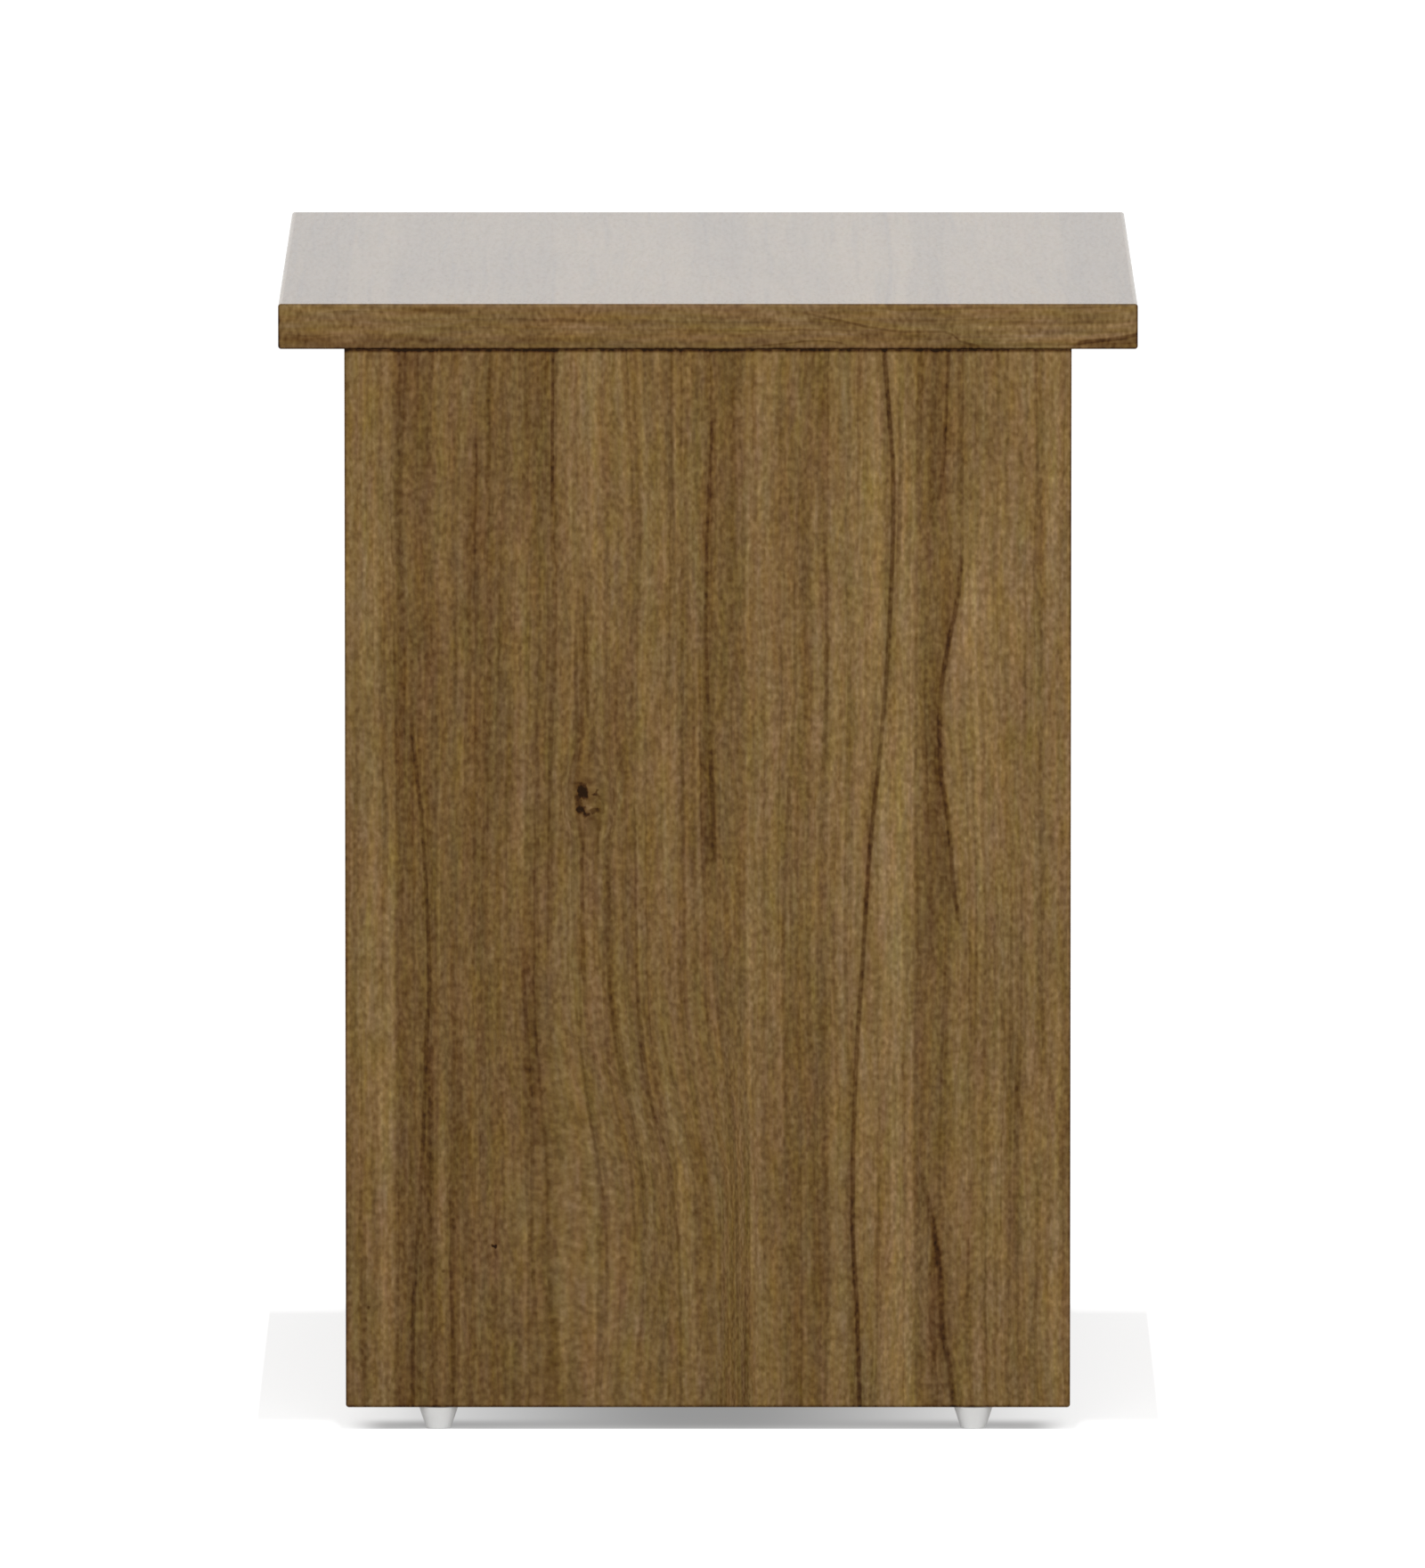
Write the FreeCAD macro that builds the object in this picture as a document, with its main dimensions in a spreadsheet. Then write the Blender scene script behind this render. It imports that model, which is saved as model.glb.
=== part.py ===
import FreeCAD, Part
import os
import re
import Sketcher

# A two-drawer nightstand of foil-wrapped board: a case between two slab sides that stand on four nail-on
# feet, a top that stands out in front and behind, and two handleless drawers on steel roller runners.
# Origin on the floor under the middle of the top, +Z up, the drawer fronts face -Y. Sizes in millimetres.

doc = FreeCAD.newDocument("Nightstand")

# Driving sizes: name, value, what it is.
SIZES = [
    ("case_width", 448, "across the outer faces of the two sides"),
    ("side_depth", 352, "front edge to back edge of a side, with its bands"),
    ("side_height", 517, "lower edge to upper edge of a side, with its band"),
    ("side_thickness", 18, "board of the two sides"),
    ("top_thickness", 22, "board of the top"),
    ("top_overhang", 32, "how far the top stands out in front and behind"),
    ("top_lip", 1, "how far the top stands proud of each side"),
    ("inner_board", 16, "board of the bottom, the rails and the drawer fronts"),
    ("drawer_board", 12, "board of the drawer sides and backs"),
    ("hardboard", 3, "sheet of the back and the drawer bottoms"),
    ("band", 2, "edge band on the visible edges"),
    ("rounding", 1.5, "rounding of the banded edges"),
    ("toe_height", 50, "height of the rail under the bottom"),
    ("toe_setback", 20, "how far the toe rail stands behind the side's front edge"),
    ("rail_setback", 60, "how far the middle rail stands behind the side's front edge"),
    ("rail_depth", 60, "front to back size of the middle rail"),
    ("back_inset", 10, "back panel's rear face before the side's back edge"),
    ("back_groove", 6, "how deep the side's groove for the back is"),
    ("sheet_gap", 0.2, "play of a hardboard sheet in its groove"),
    ("fit_gap", 0.1, "radial play of a pin, screw or dowel in its hole"),
    ("end_gap", 0.5, "play past the end of a pin, screw or dowel"),
    ("run_gap", 0.3, "clearance of a roller to what it runs on"),
    ("axle_gap", 0.06, "radial running clearance of a roller on its axle"),
    ("cut_over", 4, "how far a cut runs past what it cuts"),
    ("foot_height", 11, "nail-on foot, from the floor to the side"),
    ("foot_top_radius", 9.7, "foot where it meets the side"),
    ("foot_floor_radius", 6, "foot near the floor"),
    ("foot_rounding", 0.6, "rounding round the foot's lower edge"),
    ("front_foot_inset", 45, "axis of a front foot behind the side's front edge"),
    ("back_foot_inset", 47, "axis of a back foot before the side's back edge"),
    ("foot_nail_radius", 1.1, "shank of the foot's nail"),
    ("foot_nail_reach", 16, "how far the foot's nail goes into the side"),
    ("foot_nail_head", 3, "radius of the foot nail's head"),
    ("foot_nail_seat", 3.4, "height of the nail head's lower face over the floor"),
    ("nail_head_thickness", 0.8, "thickness of a nail's head"),
    ("finger_gap", 20, "hand gap over each drawer front"),
    ("front_reveal", 2, "gap beside a drawer front"),
    ("lower_reveal", 3, "gap under the lower drawer front"),
    ("box_rise", 16, "drawer box's lower edge over the front's lower edge"),
    ("box_drop", 38, "drawer box's upper edge under the front's upper edge"),
    ("box_depth", 310, "depth of a drawer's sides"),
    ("floor_rise", 12, "underside of the drawer's bottom over the box's lower edge"),
    ("floor_groove", 5, "depth of the grooves that hold a drawer's bottom"),
    ("runner_space", 12.7, "room for the runners beside a drawer"),
    ("runner_short", 10, "how much shorter a runner is than the drawer's side"),
    ("runner_start", 2, "case runner's front end behind the drawer front"),
    ("steel", 1.2, "sheet of the runners"),
    ("channel_height", 28, "height of the case runner"),
    ("channel_rise", 3, "case runner's lower face over the drawer box's lower edge"),
    ("flange_gap", 0.5, "case runner's flanges to the drawer runner's web"),
    ("entry_length", 36, "front stretch of the case runner with no upper flange"),
    ("lip_width", 9, "drawer runner's lip that rides on the front roller"),
    ("shelf_width", 14, "drawer runner's flange under the drawer side"),
    ("roller_radius", 10, "tread of a roller"),
    ("roller_width", 6, "tread width of a roller"),
    ("roller_chamfer", 0.8, "chamfer of a roller's tread"),
    ("roller_side", 0.6, "gap from a roller to the web that it is riveted to"),
    ("roller_inset", 12, "front roller's axis behind the case runner's front end"),
    ("axle_radius", 2.5, "shank of a roller's rivet"),
    ("axle_head", 4.2, "head of a roller's rivet"),
    ("axle_head_thickness", 1.1, "thickness of that head"),
    ("screw_radius", 1.75, "runner screw"),
    ("screw_length", 10, "runner screw under its head"),
    ("screw_head", 3.4, "radius of the runner screw's head"),
    ("screw_head_height", 1.6, "height of the runner screw's head"),
    ("tip_share", 0.33, "a screw's blunt tip, as a share of its radius"),
    ("head_taper_share", 0.8, "a pan head's upper face, as a share of its seat"),
    ("front_screw_inset", 45, "runner's first screw behind its front end"),
    ("back_screw_inset", 60, "runner's last screw before its back end"),
    ("back_screw_length", 32, "countersunk screw that holds a drawer's back"),
    ("back_screw_head_height", 2, "height of its countersunk head"),
    ("back_screw_margin", 42, "height of the screws from the box's upper and lower edge"),
    ("cam_bolt_radius", 2.5, "thread of a cam bolt"),
    ("cam_bolt_depth", 11, "how far a cam bolt screws in"),
    ("cam_collar", 3.1, "radius of a cam bolt's collar and head"),
    ("cam_collar_length", 2, "length of the collar"),
    ("cam_neck", 1.8, "radius of a cam bolt's neck"),
    ("cam_head_length", 5, "length of a cam bolt's head"),
    ("cam_reach", 24, "joint face to the middle of the cam"),
    ("cam_play", 0.3, "radial play round a cam bolt's head"),
    ("cam_radius", 7.4, "cam housing"),
    ("cam_axis", 8, "cam bolt's axis under the face of the thick boards"),
    ("cam_depth", 12.5, "cam in the thick boards"),
    ("small_cam_depth", 10, "cam in the drawer sides"),
    ("cam_slot", 1.2, "width of the cross slot in a cam"),
    ("cam_slot_length", 9, "length of the cross slot"),
    ("cam_slot_depth", 1.6, "depth of the cross slot"),
    ("cam_inset", 60, "cam behind the front and before the back of a board"),
    ("cam_margin", 35, "cams from the upper and lower edge of a drawer side"),
    ("rail_cam_inset", 18, "cam behind the middle rail's front edge"),
    ("dowel_radius", 4, "dowel"),
    ("dowel_length", 30, "dowel"),
    ("dowel_depth", 11, "how far a dowel goes into a face"),
    ("dowel_step", 32, "dowel beside its cam"),
    ("rail_dowel_step", 26, "dowel beside the middle rail's cam"),
    ("toe_dowel_inset", 14, "dowels from the upper and lower edge of the toe rail"),
    ("back_nail_radius", 0.7, "back panel's nail"),
    ("back_nail_length", 18, "back panel's nail under its head"),
    ("back_nail_head", 1.9, "radius of the back panel nail's head"),
    ("back_nail_inset", 30, "first and last nail from the sides' inner faces"),
]
NAIL_COUNT = 5

# Sizes that follow from the driving ones. Heights here count from the side's lower edge.
DERIVED = {
    "inner_x": "case_width / 2 - side_thickness",
    "front_y": "-side_depth / 2",
    "bottom_high": "toe_height + inner_board",
    "front_height": "(side_height - bottom_high - lower_reveal - 2 * finger_gap) / 2",
    "front_width": "2 * inner_x - 2 * front_reveal",
    "box_height": "front_height - box_rise - box_drop",
    "lower_front_low": "bottom_high + lower_reveal",
    "upper_front_low": "lower_front_low + front_height + finger_gap",
    "rail_low": "lower_front_low + front_height + (finger_gap - inner_board) / 2",
    "back_face": "side_depth - back_inset - hardboard",
    "cam_hole": "cam_collar + cam_play",
    "box_x": "inner_x - runner_space",
    "floor_half_width": "box_x - drawer_board + floor_groove - sheet_gap",
    "box_back": "inner_board + box_depth",
    "runner_length": "box_depth - runner_short",
    "channel_front": "inner_board + runner_start",
    "channel_back": "channel_front + runner_length",
    "axle_height": "steel + run_gap + roller_radius",
    "front_axle_y": "channel_front + roller_inset",
    "rear_axle_y": "channel_back - steel - run_gap - roller_radius",
    "axle_length": "steel + roller_side + roller_width + run_gap",
    "roller_middle": "steel + roller_side + roller_width / 2",
    "cam_far": "side_depth - cam_inset",
    "bottom_cam_far": "back_face - cam_inset",
    "toe_middle": "toe_setback + inner_board / 2",
}

sheet = doc.addObject("Spreadsheet::Sheet", "Sizes")
for row, (alias, number, meaning) in enumerate(SIZES, start=1):
    sheet.set(f"A{row}", alias)
    sheet.set(f"B{row}", str(number))
    sheet.set(f"C{row}", meaning)
    sheet.setAlias(f"B{row}", alias)
doc.recompute()

PIECES = []
SHEET_NAMES = {alias for alias, number, meaning in SIZES}
LEFT, RIGHT = -1, 1
HANDS = (("left", LEFT), ("right", RIGHT))
DRAWERS = (("upper", "upper_front_low"), ("lower", "lower_front_low"))


def formula(text):
    """Turn plain size names into an expression on the sheet."""
    def one(match):
        word = match.group(0)
        if word in DERIVED:
            return f"({formula(DERIVED[word])})"
        return f"Sizes.{word}" if word in SHEET_NAMES else word
    return re.sub(r"[a-z][a-z_]*", one, text)


def number_of(text):
    """The present value of a formula."""
    return float(sheet.evalExpression(formula(text)))


def bind(thing, prop, text):
    thing.setExpression(prop, formula(text))


def place(thing, across, along, up, turn=None):
    """Put a thing at a spot, turned if it doesn't stand as it was made."""
    if turn:
        thing.Placement = FreeCAD.Placement(FreeCAD.Vector(), turn)
    bind(thing, "Placement.Base.x", across)
    bind(thing, "Placement.Base.y", along)
    bind(thing, "Placement.Base.z", up)


def keep(thing, name):
    """Name a finished piece, which then gets a file of its own."""
    thing.Label = name
    PIECES.append(thing)
    return thing


def new_sketch(body, plane, offset="0"):
    """A sketch on one of the body's own planes, moved along that plane's normal."""
    sketch = body.newObject("Sketcher::SketchObject", "Outline")
    base = next(feature for feature in body.Origin.OriginFeatures if feature.Role == plane)
    sketch.AttachmentSupport = (base, [""])
    sketch.MapMode = "FlatFace"
    bind(sketch, "AttachmentOffset.Base.z", offset)
    return sketch


def pin_point(sketch, shape, point, across, up):
    """Hold a point of the sketch at two named distances from its origin."""
    for kind, text in (("DistanceX", across), ("DistanceY", up)):
        index = sketch.addConstraint(Sketcher.Constraint(kind, -1, 1, shape, point, number_of(text)))
        bind(sketch, f"Constraints[{index}]", text)


def draw_polygon(sketch, corners):
    """Straight lines through corners that are given as pairs of formulas."""
    spots = [FreeCAD.Vector(number_of(across), number_of(up), 0) for across, up in corners]
    count = len(corners)
    first = sketch.GeometryCount
    for index in range(count):
        sketch.addGeometry(Part.LineSegment(spots[index], spots[(index + 1) % count]), False)
    for index in range(count):
        after = first + (index + 1) % count
        sketch.addConstraint(Sketcher.Constraint("Coincident", first + index, 2, after, 1))
    for index, (across, up) in enumerate(corners):
        pin_point(sketch, first + index, 1, across, up)


def draw_rectangle(sketch, left, low, right, high):
    draw_polygon(sketch, [(left, low), (right, low), (right, high), (left, high)])


def draw_circle(sketch, across, up, radius):
    spot = FreeCAD.Vector(number_of(across), number_of(up), 0)
    index = sketch.addGeometry(Part.Circle(spot, FreeCAD.Vector(0, 0, 1), number_of(radius)), False)
    pin_point(sketch, index, 3, across, up)
    constraint = sketch.addConstraint(Sketcher.Constraint("Radius", index, number_of(radius)))
    bind(sketch, f"Constraints[{constraint}]", radius)


def pad(body, sketch, length, backwards=False):
    feature = body.newObject("PartDesign::Pad", "Pad")
    feature.Profile = sketch
    feature.Reversed = backwards
    bind(feature, "Length", length)
    return feature


def pocket(body, sketch, depth, backwards=False):
    """Cut against the sketch's normal, or along it when backwards."""
    feature = body.newObject("PartDesign::Pocket", "Pocket")
    feature.Profile = sketch
    feature.Reversed = backwards
    bind(feature, "Length", depth)
    return feature


def drill(body, plane, offset, spots, radius, depth, backwards=False):
    """Round holes of one size, bored from one plane of the body."""
    sketch = new_sketch(body, plane, offset)
    for across, up in spots:
        draw_circle(sketch, across, up, radius)
    pocket(body, sketch, depth, backwards)


def trench(body, plane, offset, corners, depth, backwards=False):
    """A straight-sided cut, such as a groove."""
    sketch = new_sketch(body, plane, offset)
    draw_rectangle(sketch, *corners)
    pocket(body, sketch, depth, backwards)


def edge_owner(shape, edge):
    """A face of the shape that has the edge."""
    return next(face for face in shape.Faces if any(edge.isSame(other) for other in face.Edges))


def round_edges(body, radius, wanted):
    """Round the edges of the body's last feature whose middle passes the test; a seam is no edge to round."""
    doc.recompute()
    base = body.Tip
    names = []
    for index, edge in enumerate(base.Shape.Edges, start=1):
        if wanted(edge.CenterOfMass) and not edge.isSeam(edge_owner(base.Shape, edge)):
            names.append(f"Edge{index}")
    feature = body.newObject("PartDesign::Fillet", "Rounding")
    feature.Base = (base, names)
    bind(feature, "Radius", radius)


def turned_piece(name, profile):
    """A solid of revolution about its own Z axis, from (radius, height) pairs."""
    body = doc.addObject("PartDesign::Body", name)
    sketch = new_sketch(body, "XZ_Plane")
    draw_polygon(sketch, profile)
    feature = body.newObject("PartDesign::Revolution", "Turn")
    feature.Profile = sketch
    feature.ReferenceAxis = (sketch, ["V_Axis"])
    feature.Angle = 360
    return body


def group_of(name, pattern, places):
    """Like pieces as one group of separate solids: a place is (across, along, up, turn)."""
    copies = []
    for spot in places:
        copy = doc.addObject("App::Link", f"{name}_copy")
        copy.LinkedObject = pattern
        place(copy, *spot)
        copies.append(copy)
    group = doc.addObject("Part::Compound", name)
    group.Links = copies
    return keep(group, name)


def turn_from(face, mouth):
    """Turn that takes a piece's own +Z to one direction and its own -X to another."""
    x_axis = mouth.negative()
    return FreeCAD.Rotation(x_axis, face.cross(x_axis), face, "ZXY")


def inwards_from(hand):
    """Direction from a side to the middle of the case."""
    return FreeCAD.Vector(-hand, 0, 0)


def head_to(direction):
    """Turn that points a pin's head, its own +Z, in a direction."""
    return FreeCAD.Rotation(UP, direction)


UP = FreeCAD.Vector(0, 0, 1)
DOWN = FreeCAD.Vector(0, 0, -1)
FORWARD = FreeCAD.Vector(0, -1, 0)
BACKWARD = FreeCAD.Vector(0, 1, 0)


# Patterns of the fasteners. The head or the cam end is on +Z; the joint face or the head's seat is at zero.

def cam_bolt_pattern():
    """Steel bolt: thread in one board, collar at the joint face, neck, and a head that the cam pulls."""
    return turned_piece("CamBolt", [
        ("0", "-cam_bolt_depth"),
        ("cam_bolt_radius", "-cam_bolt_depth"),
        ("cam_bolt_radius", "0"),
        ("cam_collar", "0"),
        ("cam_collar", "cam_collar_length"),
        ("cam_neck", "cam_collar_length"),
        ("cam_neck", "cam_reach - cam_head_length / 2"),
        ("cam_collar", "cam_reach - cam_head_length / 2"),
        ("cam_collar", "cam_reach + cam_head_length / 2"),
        ("0", "cam_reach + cam_head_length / 2"),
    ])


def cam_pattern(name, depth, axis_height):
    """Zinc cam with a cross slot in its visible face and a bore that takes the bolt's head from -X."""
    body = doc.addObject("PartDesign::Body", name)
    outline = new_sketch(body, "XY_Plane")
    draw_circle(outline, "0", "0", "cam_radius")
    pad(body, outline, depth, backwards=True)
    half_slot = "cam_slot / 2"
    half_length = "cam_slot_length / 2"
    for wide, high in ((half_slot, half_length), (half_length, half_slot)):
        corners = (f"-{wide}", f"-{high}", wide, high)
        trench(body, "XY_Plane", "0", corners, "cam_slot_depth")
    reach = "cam_radius + cut_over + cam_head_length / 2 + end_gap"
    drill(body, "YZ_Plane", "-cam_radius - cut_over", [("0", f"-({axis_height})")], "cam_hole", reach,
          backwards=True)
    return body


def dowel_pattern():
    """Plain wooden dowel, its joint face at zero."""
    return turned_piece("Dowel", [
        ("0", "-dowel_depth"),
        ("dowel_radius", "-dowel_depth"),
        ("dowel_radius", "dowel_length - dowel_depth"),
        ("0", "dowel_length - dowel_depth"),
    ])


def runner_screw_pattern():
    """Pan-head screw, its head's seat at zero."""
    return turned_piece("RunnerScrew", [
        ("0", "-screw_length"),
        ("screw_radius * tip_share", "-screw_length"),
        ("screw_radius", "screw_radius - screw_length"),
        ("screw_radius", "0"),
        ("screw_head", "0"),
        ("screw_head * head_taper_share", "screw_head_height"),
        ("0", "screw_head_height"),
    ])


def back_screw_pattern():
    """Countersunk screw, its head's flat face at zero."""
    return turned_piece("BackScrew", [
        ("0", "-back_screw_length"),
        ("screw_radius * tip_share", "-back_screw_length"),
        ("screw_radius", "screw_radius - back_screw_length"),
        ("screw_radius", "-back_screw_head_height"),
        ("screw_head", "0"),
        ("0", "0"),
    ])


def nail_pattern(name, radius, length, head_radius):
    """Nail, its head's seat at zero."""
    return turned_piece(name, [
        ("0", f"-({length})"),
        (radius, f"2 * {radius} - ({length})"),
        (radius, "0"),
        (head_radius, "0"),
        (head_radius, "nail_head_thickness"),
        ("0", "nail_head_thickness"),
    ])


def axle_pattern():
    """Rivet of a roller: its flush end at zero, its head past the roller on +Z."""
    return turned_piece("Axle", [
        ("0", "0"),
        ("axle_radius", "0"),
        ("axle_radius", "axle_length"),
        ("axle_head", "axle_length"),
        ("axle_head", "axle_length + axle_head_thickness"),
        ("0", "axle_length + axle_head_thickness"),
    ])


cam_bolt = cam_bolt_pattern()
cam = cam_pattern("Cam", "cam_depth", "cam_axis")
small_cam = cam_pattern("SmallCam", "small_cam_depth", "drawer_board / 2")
dowel = dowel_pattern()
runner_screw = runner_screw_pattern()
back_screw = back_screw_pattern()
foot_nail = nail_pattern("FootNail", "foot_nail_radius",
                         "foot_nail_reach + foot_height - foot_nail_seat - nail_head_thickness",
                         "foot_nail_head")
back_nail = nail_pattern("BackNail", "back_nail_radius", "back_nail_length", "back_nail_head")
axle = axle_pattern()

# Spots of the joints, from the case's front edge plane.
SIDE_CAMS = ("cam_inset", "cam_far")
SIDE_DOWELS = ("cam_inset + dowel_step", "cam_far - dowel_step")
BOTTOM_CAMS = ("cam_inset", "bottom_cam_far")
BOTTOM_DOWELS = ("cam_inset + dowel_step", "bottom_cam_far - dowel_step")
RAIL_CAM = "rail_setback + rail_cam_inset"
RAIL_DOWEL = "rail_setback + rail_cam_inset + rail_dowel_step"
TOE_DOWELS = ("toe_dowel_inset", "toe_height - toe_dowel_inset")
FEET = (("front", "front_foot_inset"), ("back", "side_depth - back_foot_inset"))
BOTTOM_AXIS = "toe_height + inner_board / 2"
RAIL_AXIS = "rail_low + inner_board / 2"
RUNNER_SCREWS = ("front_screw_inset", "runner_length / 2", "runner_length - back_screw_inset")


def banded_edge(name, plane, outer, inner, thickness, wanted, backwards=False):
    """An edge band round a board: the rounded outline of the whole board less its core."""
    body = doc.addObject("PartDesign::Body", name)
    outline = new_sketch(body, plane)
    draw_rectangle(outline, *outer)
    pad(body, outline, thickness, backwards)
    round_edges(body, "rounding", wanted)
    trench(body, plane, "0", inner, thickness, not backwards)
    return keep(body, name)


def side_panel(word, hand):
    """A side's board: its origin is the inner face at the front edge and lower edge, bands included."""
    body = keep(doc.addObject("PartDesign::Body", f"{word}_side_panel"), f"{word}_side_panel")
    outline = new_sketch(body, "YZ_Plane")
    draw_rectangle(outline, "band", "band", "side_depth - band", "side_height")
    outward = hand == RIGHT
    pad(body, outline, "side_thickness", backwards=not outward)

    # Bores in the inner face for the bottom, the rails and the runners.
    bolts = [(along, BOTTOM_AXIS) for along in BOTTOM_CAMS]
    bolts.append((RAIL_CAM, RAIL_AXIS))
    drill(body, "YZ_Plane", "0", bolts, "cam_bolt_radius + fit_gap", "cam_bolt_depth + end_gap", outward)
    dowels = [(along, BOTTOM_AXIS) for along in BOTTOM_DOWELS]
    dowels.append((RAIL_DOWEL, RAIL_AXIS))
    dowels += [("toe_middle", height) for height in TOE_DOWELS]
    drill(body, "YZ_Plane", "0", dowels, "dowel_radius + fit_gap", "dowel_depth + end_gap", outward)
    screws = []
    for drawer, low in DRAWERS:
        height = f"{low} + box_rise + channel_rise + channel_height / 2"
        screws += [(f"channel_front + {spot}", height) for spot in RUNNER_SCREWS]
    drill(body, "YZ_Plane", "0", screws, "screw_radius + fit_gap", "screw_length - steel + end_gap", outward)

    # Cams for the top, and the groove that the back panel slides into.
    cams = [(along, "side_height - cam_reach") for along in SIDE_CAMS]
    drill(body, "YZ_Plane", "0", cams, "cam_radius + fit_gap", "cam_depth", outward)
    groove = ("back_face - sheet_gap", "toe_height", "back_face + hardboard + sheet_gap",
              "side_height + cut_over")
    trench(body, "YZ_Plane", "0", groove, "back_groove", outward)

    # Bores in the upper edge for the top's bolts and dowels, and in the lower edge for the feet.
    across = f"{hand} * cam_axis"
    upper = [(across, along) for along in SIDE_CAMS]
    drill(body, "XY_Plane", "side_height", upper, "cam_hole", "cam_reach")
    upper = [(across, along) for along in SIDE_DOWELS]
    drill(body, "XY_Plane", "side_height", upper, "dowel_radius + fit_gap",
          "dowel_length - dowel_depth + end_gap")
    nails = [(f"{hand} * side_thickness / 2", along) for place_word, along in FEET]
    drill(body, "XY_Plane", "band", nails, "foot_nail_radius + fit_gap",
          "foot_nail_reach - band + end_gap", backwards=True)
    place(body, f"{hand} * inner_x", "front_y", "foot_height")


def side_band(word, hand):
    """Edge band on the front, lower and back edge of a side."""
    top = number_of("side_height")
    near = number_of("band")
    body = banded_edge(
        f"{word}_side_edge_band", "YZ_Plane", ("0", "0", "side_depth", "side_height"),
        ("band", "band", "side_depth - band", "side_height + cut_over"),
        "side_thickness", lambda middle: middle.z < top - near, backwards=hand == LEFT)
    nails = [(f"{hand} * side_thickness / 2", along) for place_word, along in FEET]
    drill(body, "XY_Plane", "-cut_over", nails, "foot_nail_radius + fit_gap", "band + 2 * cut_over",
          backwards=True)
    place(body, f"{hand} * inner_x", "front_y", "foot_height")


def top_panel():
    """The top's board: its origin is the middle of its underside."""
    body = keep(doc.addObject("PartDesign::Body", "top_panel"), "top_panel")
    outline = new_sketch(body, "XY_Plane")
    half_width = "case_width / 2 + top_lip - band"
    half_depth = "side_depth / 2 + top_overhang - band"
    draw_rectangle(outline, f"-({half_width})", f"-({half_depth})", half_width, half_depth)
    pad(body, outline, "top_thickness")
    for word, hand in HANDS:
        across = f"{hand} * (inner_x + cam_axis)"
        bolts = [(across, f"front_y + {along}") for along in SIDE_CAMS]
        drill(body, "XY_Plane", "0", bolts, "cam_bolt_radius + fit_gap", "cam_bolt_depth + end_gap", True)
        pins = [(across, f"front_y + {along}") for along in SIDE_DOWELS]
        drill(body, "XY_Plane", "0", pins, "dowel_radius + fit_gap", "dowel_depth + end_gap", True)
    place(body, "0", "0", "foot_height + side_height")


def top_band():
    """Edge band all round the top."""
    half_width = "case_width / 2 + top_lip"
    half_depth = "side_depth / 2 + top_overhang"
    outer = (f"-({half_width})", f"-({half_depth})", half_width, half_depth)
    inner = (f"band - ({half_width})", f"band - ({half_depth})",
             f"{half_width} - band", f"{half_depth} - band")
    body = banded_edge("top_edge_band", "XY_Plane", outer, inner, "top_thickness", lambda middle: True)
    place(body, "0", "0", "foot_height + side_height")


def cross_board(name, front, back, low):
    """A flat board between the sides: its origin is the middle of its front edge, on its underside."""
    body = keep(doc.addObject("PartDesign::Body", name), name)
    outline = new_sketch(body, "XY_Plane")
    draw_rectangle(outline, "-(inner_x)", "0", "inner_x", f"{back} - ({front})")
    pad(body, outline, "inner_board")
    place(body, "0", f"front_y + {front}", f"foot_height + {low}")
    return body


def end_bores(body, start, cams, dowels):
    """Cam pockets in the underside, and bores for bolts and dowels in both ends of a cross board."""
    for word, hand in HANDS:
        spots = [(f"{hand} * (inner_x - cam_reach)", f"{along} - ({start})") for along in cams]
        drill(body, "XY_Plane", "0", spots, "cam_radius + fit_gap", "cam_depth", True)
        face = f"{hand} * (inner_x)"
        inward = hand == LEFT
        spots = [(f"{along} - ({start})", "inner_board / 2") for along in cams]
        drill(body, "YZ_Plane", face, spots, "cam_hole", "cam_reach", inward)
        spots = [(f"{along} - ({start})", "inner_board / 2") for along in dowels]
        drill(body, "YZ_Plane", face, spots, "dowel_radius + fit_gap",
              "dowel_length - dowel_depth + end_gap", inward)


def back_nail_spots():
    """Evenly spaced places across the back."""
    span = "2 * (inner_x - back_nail_inset)"
    first = "back_nail_inset - (inner_x)"
    return [f"{first} + {span} * {index} / {NAIL_COUNT - 1}" for index in range(NAIL_COUNT)]


def bottom_panel():
    body = cross_board("bottom_panel", "0", "back_face", "toe_height")
    end_bores(body, "0", BOTTOM_CAMS, BOTTOM_DOWELS)
    spots = [(across, "inner_board / 2") for across in back_nail_spots()]
    drill(body, "XZ_Plane", "-(back_face)", spots, "back_nail_radius + fit_gap",
          "back_nail_length - hardboard + end_gap", True)


def middle_rail():
    body = cross_board("middle_rail", "rail_setback", "rail_setback + rail_depth", "rail_low")
    end_bores(body, "rail_setback", (RAIL_CAM,), (RAIL_DOWEL,))


def toe_rail():
    """Upright rail under the bottom panel, held by two dowels at each end."""
    body = keep(doc.addObject("PartDesign::Body", "toe_rail"), "toe_rail")
    outline = new_sketch(body, "XZ_Plane")
    draw_rectangle(outline, "-(inner_x)", "0", "inner_x", "toe_height")
    pad(body, outline, "inner_board", backwards=True)
    for word, hand in HANDS:
        spots = [("inner_board / 2", height) for height in TOE_DOWELS]
        drill(body, "YZ_Plane", f"{hand} * (inner_x)", spots, "dowel_radius + fit_gap",
              "dowel_length - dowel_depth + end_gap", hand == LEFT)
    place(body, "0", "front_y + toe_setback", "foot_height")


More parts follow.
